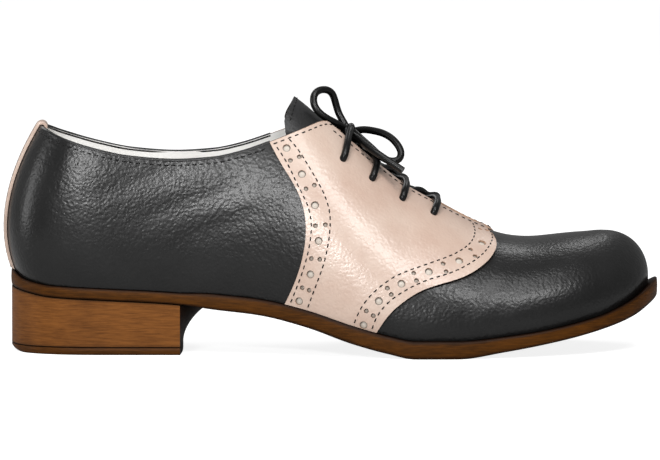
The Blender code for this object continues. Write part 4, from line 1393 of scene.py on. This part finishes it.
def strip_line(y, lift):
    """The strip's line at y, from the sole up, over the topline and down inside."""
    top_z = topline_height(LENGTH * -0.095)
    for _ in range(6):
        top_z = topline_height(behind_form(y, top_z)[0].x)
    low_z = sole_top(LENGTH * feather["x"](0.0)) + 2 * CLEARANCE
    line = []
    for i in range(STRIP_UP + 1):
        place, normal = behind_form(y, low_z + (top_z - low_z) * i / STRIP_UP)
        line.append(place + normal * lift)
        if i == 0:
            line[0].z = sole_top(line[0].x) + CLEARANCE
    below, _ = behind_form(y, top_z - 0.002)
    rise = (place - below).normalized()
    rise = (rise - normal * rise.dot(normal)).normalized()
    centre = place - normal * (WALL / 2)
    reach = WALL / 2 + lift
    for i in range(1, STRIP_OVER + 1):
        angle = math.pi * i / STRIP_OVER
        line.append(centre + normal * (reach * math.cos(angle)) + rise * (reach * math.sin(angle)))
    line.append(line[-1] - rise * STRIP_FLAP)
    return line


def strip_skin(lift, inset):
    half = STRIP_WIDTH / 2 - inset
    return [strip_line(-half + 2 * half * j / STRIP_ACROSS, lift) for j in range(STRIP_ACROSS + 1)]


STRIP_FACE = CLEARANCE + STRIP_LEATHER
skins = [
    strip_skin(CLEARANCE, 0.0),
    strip_skin(STRIP_FACE - STRIP_ROUND, 0.0),
    strip_skin(STRIP_FACE, STRIP_ROUND),
]
strip_mesh = slab("heel_strip_leather", skins, lambda place: 0.5)
strip = add_piece("heel_strip_leather", strip_mesh, [CREAM_CALF], ["heel_strip"])
print("strip faces:", len(strip.data.polygons))

# %% [markdown]
# ## Tongue
#
# The tongue lies under the facings and stands up behind the bow. It is cut from a shell inside the upper by
# its side view and its plan view.

# %% Tongue


def tongue_knives():
    end = edge_line(TONGUE_END, over_sole)
    front = LENGTH * TONGUE_TO
    below = sole_top(front) + THROAT_DEPTH * INSTEP_HEIGHT
    outline = end + [(end[-1][0], below), (front, below), (front, end[0][1])]
    rear = LENGTH * TONGUE_FROM - TONGUE_HALF_WIDTH
    past = front + 0.005
    half = TONGUE_TAPER * TONGUE_HALF_WIDTH
    shift = ridge_y(front)
    plan = [(rear, -TONGUE_HALF_WIDTH), (past, shift - half), (past, shift + half), (rear, TONGUE_HALF_WIDTH)]
    return [
        prism("tongue_side_knife", outline, "y", -CUT_HALF, CUT_HALF),
        prism("tongue_plan_knife", plan, "z", CUT_BELOW, CUT_TOP),
    ]


far = -WALL - CLEARANCE
_, front_column = columns_between(TONGUE_FROM, TONGUE_TO + 0.02)
ranges = ((RIDGE_COLUMN, front_column), (RING - front_column, RING - RIDGE_COLUMN))
tongue_mesh = shell_mesh("tongue_leather", far - TONGUE_LEATHER, far, ranges, FORM_ROWS // 2)
tongue = add_piece("tongue_leather", tongue_mesh, [TONGUE_CALF], ["tongue"])
for tongue_knife in tongue_knives():
    cut_with(tongue, "INTERSECT", tongue_knife)
    remove(tongue_knife)
smooth_again(tongue)
remove(opening, throat, knife)
print("tongue faces:", len(tongue.data.polygons))

# %% [markdown]
# ## Collar roll
#
# The leather is turned over at the topline, so its edge is round and not cut square. A slim tube along the
# middle of the wall gives that roll. It runs round the heel from the rear edge of one saddle half to the
# other.

# %% Collar roll


def tube_mesh(name, line, radius, sides=10):
    """A round solid along a line of points."""
    count = len(line)
    points = []
    over = Vector((0, 0, 1))
    for i, place in enumerate(line):
        ahead = (line[min(i + 1, count - 1)] - line[max(i - 1, 0)]).normalized()
        across = ahead.cross(over).normalized()
        over = across.cross(ahead).normalized()
        points += round_ring(place, across, over, radius, sides)
    ends = [list(range(sides)), list(range((count - 1) * sides, count * sides))]
    return mesh_from(name, points, ring_faces(0, count, sides) + ends, sharp=60.0)


def at_height(along, side, drop):
    """The form's place and normal below the topline by drop, at a way along the feather line."""
    low, high = 0.3, 1.0
    for _ in range(30):
        up = (low + high) / 2
        place = form_point(along, up, side)
        low, high = (up, high) if place.z < topline_height(place.x) - drop else (low, up)
    place = form_point(along, low, side)
    ahead, behind = (form_point(clamp(way), low, side) for way in (along + 0.004, along - 0.004))
    along_step = ahead - behind
    up_step = place - form_point(along, low - 0.05, side)
    normal = along_step.cross(up_step) if side == "lateral" else up_step.cross(along_step)
    return place, normal.normalized()


def topline_places(end_x, drop, spacing):
    """Places along the topline, from the lateral saddle edge round the back to the medial one."""
    found = {}
    for side in SIDES:
        found[side] = []
        for i in range(1, 400):
            along = RIDGE_FROM * i / 400
            place, normal = at_height(along, side, drop)
            if place.x > end_x:
                break
            found[side].append((place, normal))
    row = found["lateral"][::-1] + found["medial"]
    kept = [row[0]]
    for place, normal in row[1:]:
        if (place - kept[-1][0]).length >= spacing:
            kept.append((place, normal))
    return kept


ROLL_TO = 0.262  # share of LENGTH
ROLL_DROP = 0.0002  # below the topline
roll_line = [
    place - normal * (WALL / 2) for place, normal in topline_places(LENGTH * ROLL_TO, ROLL_DROP, FINE)
]
add_piece("collar_roll", tube_mesh("collar_roll", roll_line, WALL / 2 + 0.0001), [BLACK_CALF])
print("roll points:", len(roll_line))

# %% [markdown]
# ## Stitches
#
# A lockstitch shows as short bars that dip into the leather at both ends. One bar is modelled as a bent rod
# with few faces and repeated along each seam, 3 mm from one to the next, as on the photograph.

# %% Stitch rows
STITCH_PITCH = 0.0030
STITCH_LENGTH = 0.0019
STITCH_RADIUS = 0.00027


def spread(row, pitch):
    """Places and normals at an even pitch along a row of (place, normal) pairs, with the way ahead."""
    way = [0.0]
    for here, there in zip(row, row[1:]):
        way.append(way[-1] + (there[0] - here[0]).length)
    count = int(way[-1] / pitch)
    made = []
    for n in range(count):
        target = (n + 0.5) * way[-1] / count
        i = max(0, min(len(row) - 2, int(np.searchsorted(way, target)) - 1))
        share = (target - way[i]) / max(1e-9, way[i + 1] - way[i])
        place = row[i][0].lerp(row[i + 1][0], share)
        normal = row[i][1].lerp(row[i + 1][1], share).normalized()
        made.append((place, normal, (row[i + 1][0] - row[i][0]).normalized()))
    return made


# a bar's rings: shares of its length and of its radius, and how far each stands off the leather
BAR = (
    (-0.5, 0.7, -0.00022), (-0.36, 1.0, 0.00006), (0.0, 1.05, 0.00012), (0.36, 1.0, 0.00006),
    (0.5, 0.7, -0.00022),
)
BAR_SIDES = 6


def stitches(name, rows, lift):
    """All the bars of some seams as one piece."""
    points = []
    faces = []
    bars = [bar for row in rows for bar in spread(row, STITCH_PITCH)]
    for place, normal, ahead in bars:
        across = normal.cross(ahead).normalized()
        base = len(points)
        for step, width, height in BAR:
            centre = place + ahead * (step * STITCH_LENGTH) + normal * (lift + height)
            points += round_ring(centre, across, normal, STITCH_RADIUS * width, BAR_SIDES)
        faces += ring_faces(base, len(BAR), BAR_SIDES)
        faces += [[start + k for k in range(BAR_SIDES)] for start in (base, len(points) - BAR_SIDES)]
    add_piece(name, mesh_from(name, points, faces, sharp=60.0), [THREAD])
    print(name, len(bars), "stitches")


def seam(pixels, side):
    """A seam's row of places on one side, from its pixels on the photograph."""
    found = [under_pixel(*pixel) for pixel in rounded([Vector(pixel) for pixel in pixels], 3.0)]
    if side == "medial":
        found = [on_far_side(each[0]) for each in found if each]
    return [each for each in found if each]


REAR_SEAM_1 = (
    (276.5, 147.5), (285.7, 161.2), (298, 185.7), (307.1, 204.1), (311.7, 222.5), (311.7, 233.2),
    (309.4, 250), (304.1, 269.9), (291.5, 302.5),
)
REAR_SEAM_2 = (
    (288.2, 140), (294.9, 147.5), (307.1, 165.8), (317.9, 184.2), (327, 204.1), (330.1, 222.5),
    (329.3, 237.8), (324.8, 262.3), (316.3, 286.7), (308.6, 307.5),
)
FRONT_SEAM_1 = (
    (354.5, 322.8), (359, 311.5), (368.8, 297), (382, 284.8), (397.9, 275.1), (414.8, 269), (433, 263),
    (451.2, 256.3), (463.3, 249.7), (470.6, 242.4), (473, 235), (470.6, 226),
)
FRONT_SEAM_2 = (
    (371.8, 328.5), (376, 317.5), (388.2, 301.8), (405.1, 290.3), (426.9, 280.6), (451.2, 273.3),
    (475.4, 260.6), (487.5, 248.5), (490.6, 238.8), (486.3, 231.5),
)
TOP_SEAM = ((272.5, 146.2), (281, 143.2), (290.3, 139.6), (302, 135), (314, 130.2), (324, 127), (331, 128))
for side in SIDES:
    rows = [seam(pixels, side) for pixels in (REAR_SEAM_1, REAR_SEAM_2, FRONT_SEAM_1, FRONT_SEAM_2, TOP_SEAM)]
    stitches("band_stitches_" + side, rows, SADDLE_FACE)

# %% [markdown]
# The seam along the lace facings follows the edge of the leather at a fixed distance, so it is worked out
# from the sizes of the throat. The seam below the topline follows the topline.

# %% Facing, topline, tongue and strip seams
FACING_MARGIN = 0.0026
FACING_FROM, FACING_TO = 0.352, THROAT_END + 0.004  # shares of LENGTH
COLLAR_FROM, COLLAR_TO = -0.095, 0.256
COLLAR_MARGIN = 0.0022
STRIP_MARGIN = 0.0016
STRIP_SEAM = 0.0585  # length of the seams up the heel strip
STRIP_SUNK = 0.00025  # these stitches are pulled deeper, so the outline stays smooth
TONGUE_SEAM_HALF = 0.019


def facing_row(sign):
    """Below the top corner of the facing, along its edge to the front of the throat."""
    shares = [FACING_FROM + (FACING_TO - FACING_FROM) * i / 59 for i in range(60)]
    places = [LENGTH * share for share in shares]
    return [from_above(x, ridge_y(x) + sign * (throat_half(x) + FACING_MARGIN)) for x in places]


def collar_row(side, drop, start, end):
    """Below the topline by drop, between two shares of LENGTH."""
    row = [at_height(RIDGE_FROM * (i + 0.5) / 500, side, drop) for i in range(500)]
    return [(place, normal) for place, normal in row if LENGTH * start < place.x < LENGTH * end]


for sign, side in SIGNS:
    stitches("facing_stitches_" + side, [facing_row(sign)], SADDLE_FACE)
    stitches("topline_stitches_" + side, [collar_row(side, COLLAR_MARGIN, COLLAR_FROM, COLLAR_TO)], 0.0)

rows = []
for sign, _ in SIGNS:
    foot = sole_top(LENGTH * feather["x"](0.0)) + 0.001
    y = sign * (STRIP_WIDTH / 2 - STRIP_MARGIN)
    rows.append([behind_form(y, foot + STRIP_SEAM * i / 40) for i in range(41)])
stitches("strip_stitches", rows, STRIP_FACE - STRIP_SUNK)


def tongue_row():
    """Along the rounded free end of the tongue, across its top face."""
    row = []
    for i in range(31):
        y = TONGUE_SEAM_HALF * (2 * i / 30 - 1)
        row.append(from_above(LENGTH * (TONGUE_FROM + 0.0165) - 0.21 * y**2 / TONGUE_SEAM_HALF, y))
    return [each for each in row if each]


stitches("tongue_stitches", [tongue_row()], -WALL - CLEARANCE)

# %% [markdown]
# ## Lace
#
# A round waxed lace runs through bare holes. From each hole it comes up over the facing, crosses the tongue
# and goes under the other facing one hole further back. The two top ends run to the knot. Each strand
# follows a smooth curve through places above the leather, so it rests on what carries it.

# %% Strands
OVER_FACING = SADDLE_FACE + LACE / 2 + 0.0001
HOLE_INSET = EYELET_INSET + 0.0030  # where the strand enters the leather
HOLE_BACK = 0.0012  # and how far behind the middle of the crossing
LACE_SIDES = 14


def above(x, across, lift):
    """A place beside the ridge at x, off the form by lift."""
    return over_form(x, ridge_y(x) + across, lift)


def out_of_hole(x, near):
    """(x, across, lift) up out of a facing's hole, with the facing's edge near from the ridge."""
    return [
        (x - HOLE_BACK, near + HOLE_INSET + 0.0004, -0.0016),
        (x - HOLE_BACK, near + HOLE_INSET, SADDLE_FACE + 0.2 * LACE),
        (x - 0.8 * HOLE_BACK, near + HOLE_INSET - 0.0020, OVER_FACING),
    ]


def add_lace(name, places, stands_for=(), radius=LACE / 2, spacing=0.0009):
    """A round length of lace through places."""
    mesh = tube_mesh(name, rounded(places, spacing), radius, LACE_SIDES)
    return add_piece(name, mesh, [LACE_CORD], stands_for)


def strand(front, rear, sign, raise_by):
    """Places of a strand from one facing's hole to under the other facing, one hole further back."""
    start = LENGTH * EYELETS[front]
    step = LENGTH * EYELETS[rear] - start
    near = throat_half(start)
    far = throat_half(start + step)
    places = out_of_hole(start, near) + [
        (start + 0.03 * step, near + 0.40 * EYELET_INSET, OVER_FACING + 0.0002),
        (start + 0.10 * step, 0.86 * near, OVER_FACING - 0.0007),
        (start + 0.24 * step, 0.50 * near, 0.0006 + 0.5 * raise_by),
        (start + 0.46 * step, 0.0, 0.0003 + raise_by),
        (start + 0.72 * step, -0.6 * far, -0.0002),
        (start + 0.84 * step, -far + 0.0006, -0.0012),
        (start + 0.9 * step, -far - 0.003, -0.0034),
    ]
    return [above(x, sign * across, lift) for x, across, lift in places]


STRAND_APART = 0.0010  # one strand passes this far over the middle level, the other below it
for number, place in enumerate(("front", "middle", "rear")):
    for sign, side in SIGNS:
        piece = "lace_strand_" + place + "_" + side
        way = strand(number, number + 1, sign, STRAND_APART * sign)
        add_lace(piece, way, ["lace_crossing_" + place] if side == "lateral" else [])
print("crossing strands: 6")

# %% [markdown]
# Round each strand, where it goes into the leather, lies a small dark dish a little wider than the lace: a
# painted shadow in the hole.

# %% Lace holes
lace_hole_shades = []
for share in EYELETS:
    for sign, _ in SIGNS:
        x = LENGTH * share - HOLE_BACK
        y = ridge_y(x) + sign * (throat_half(LENGTH * share) + HOLE_INSET + 0.0003)
        place, normal = from_above(x, y)
        lace_hole_shades.append((place + normal * (SADDLE_FACE - 0.00088), normal, LACE / 2 + 0.0004))
# painted shadow round each strand at its hole
add_piece("lace_hole_shades", dishes_mesh("lace_hole_shades", lace_hole_shades), [LACE_HOLE_SHADE])
print("lace holes:", len(lace_hole_shades))

# %% Knot
KNOT_SUNK = 0.0024  # the knot presses into the throat
knot_x = LENGTH * KNOT_AT
knot_centre = over_form(knot_x, ridge_y(knot_x), OVER_FACING + KNOT_RISE) - Vector((0.0008, 0.0, KNOT_SUNK))
hole_x = LENGTH * EYELETS[-1]
near = throat_half(hole_x)
rising = out_of_hole(hole_x, near) + [
    (hole_x, near, OVER_FACING + 0.0002),
    (hole_x + 0.0004, 0.45 * near, OVER_FACING + 0.0004),
]
for sign, side in SIGNS:
    way = [above(x, sign * across, lift) for x, across, lift in rising]
    add_lace("lace_top_strand_" + side, way + [knot_centre])

WRAP_TURNS = 1.35
WRAP_OUT = 0.0030  # radius of the turn round the knot
WRAP_WIDTH = 0.0034  # from its first to its last point, along the shoe
WRAP_STEPS = 40
wrap = []
for i in range(WRAP_STEPS):
    share = i / (WRAP_STEPS - 1)
    turn = 2 * math.pi * WRAP_TURNS * share
    over = 0.0004 + WRAP_OUT * math.sin(turn)
    wrap.append(knot_centre + Vector((WRAP_WIDTH * (share - 0.5), 1.25 * WRAP_OUT * math.cos(turn), over)))
wrap_mesh = tube_mesh("lace_knot_wrap", wrap, 0.46 * LACE, LACE_SIDES)
add_piece("lace_knot_wrap", wrap_mesh, [LACE_CORD], ["lace_knot"])
print("knot at", in_mm(knot_centre))

# %% [markdown]
# The bow's loops and ends are free lengths of the same lace. Each is a curve with a round bevel on points
# given in millimetres, and its length is printed.

# %% Bow
REAR_LOOP = (
    (107.7, 0.5, 96.5), (106.0, 1.5, 99.4), (104.3, 2.5, 102.5), (103.2, 3.0, 105.7),
    (102.3, 2.8, 108.9), (101.3, 2.0, 111.3), (99.8, 0.8, 112.7), (97.8, -0.8, 113.3),
    (95.6, -2.4, 113.0), (93.8, -4.0, 111.6), (93.2, -5.2, 109.0), (94.0, -6.2, 106.0),
    (96.3, -6.6, 103.2), (99.5, -6.2, 100.9), (103.0, -4.6, 98.9), (106.2, -2.4, 96.8),
)
FRONT_LOOP = (
    (110.7, 3.0, 94.9), (114.3, 1.5, 95.6), (119.0, -1.5, 95.4), (122.8, -4.5, 94.7),
    (127.3, -8.5, 92.5), (130.2, -12.0, 89.3), (131.2, -14.0, 86.6), (130.4, -15.0, 84.2),
    (127.9, -15.2, 83.2), (124.8, -14.6, 83.8), (121.8, -12.8, 85.6), (119.0, -9.8, 88.0),
    (115.2, -5.5, 91.1), (111.7, -1.0, 94.0),
)
LATERAL_END = (
    (110.6, -4.0, 93.4), (113.8, -8.0, 91.4), (116.0, -12.0, 89.8), (120.4, -16.2, 87.0),
    (126.4, -19.4, 83.2), (132.0, -21.4, 79.6),
)
MEDIAL_END = (
    (110.6, 4.8, 93.2), (113.6, 9.4, 91.0), (115.6, 13.6, 88.0), (118.6, 18.6, 83.6),
    (121.6, 23.0, 78.6), (124.0, 27.0, 73.6),
)


def run_length(points):
    return sum((there - here).length for here, there in zip(points, points[1:]))


def bow_cord(name, places, stands_for):
    points = rounded([Vector(place) / 1000 for place in places], 0.0011)
    curve = bpy.data.curves.new(name, "CURVE")
    curve.dimensions = "3D"
    curve.bevel_depth = LACE / 2
    curve.bevel_resolution = 5
    curve.use_fill_caps = True
    thread = curve.splines.new("POLY")
    thread.points.add(len(points) - 1)
    for point, place in zip(thread.points, points):
        point.co = (*place, 1.0)
    thread.use_smooth = True
    curve.materials.append(LACE_CORD)
    made = put(name, curve)
    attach(made, "root")
    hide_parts(stands_for)
    print(name, round(1000 * run_length(points), 1), "mm")


roots = []
for way in (REAR_LOOP, FRONT_LOOP):
    roots += [(way[0], way[1]), (way[-1], way[-2])]
roots += [LATERAL_END[:2], MEDIAL_END[:2]]
for number, (here, after) in enumerate(roots):
    here, after = Vector(here) / 1000, Vector(after) / 1000
    back = (here - after).normalized()
    way = [here + back * 0.0001, here + back * 0.0012, here.lerp(knot_centre, 0.5), knot_centre]
    add_lace("knot_strand_" + str(number), way, spacing=0.0008)

bow_cord("bow_loop_rear", REAR_LOOP, "lace_loop_rear")
bow_cord("bow_loop_front", FRONT_LOOP, "lace_loop_front")
bow_cord("bow_end_lateral", LATERAL_END, "lace_end_lateral")
bow_cord("bow_end_medial", MEDIAL_END, "lace_end_medial")

# %% [markdown]
# ## Finish
#
# The floor gets plain pale paper.

# %% Floor finish
FLOOR_GLOW = 0.86  # the paper as the camera sees it, near white
paper, paper_tree, paper_shader = finish("studio_paper", Roughness=0.9)
paper_shader.inputs["Base Color"].default_value = grey(0.50)
paper_shader.inputs["Specular IOR Level"].default_value = 0.0
paper_shader.inputs["Emission Color"].default_value = grey(1.0)
looked_at = node(paper_tree, "LightPath", {})
glow = math_node(paper_tree, "MULTIPLY", looked_at.outputs["Is Camera Ray"], FLOOR_GLOW)
paper_tree.links.new(glow, paper_shader.inputs["Emission Strength"])
floor.data.materials.append(paper)
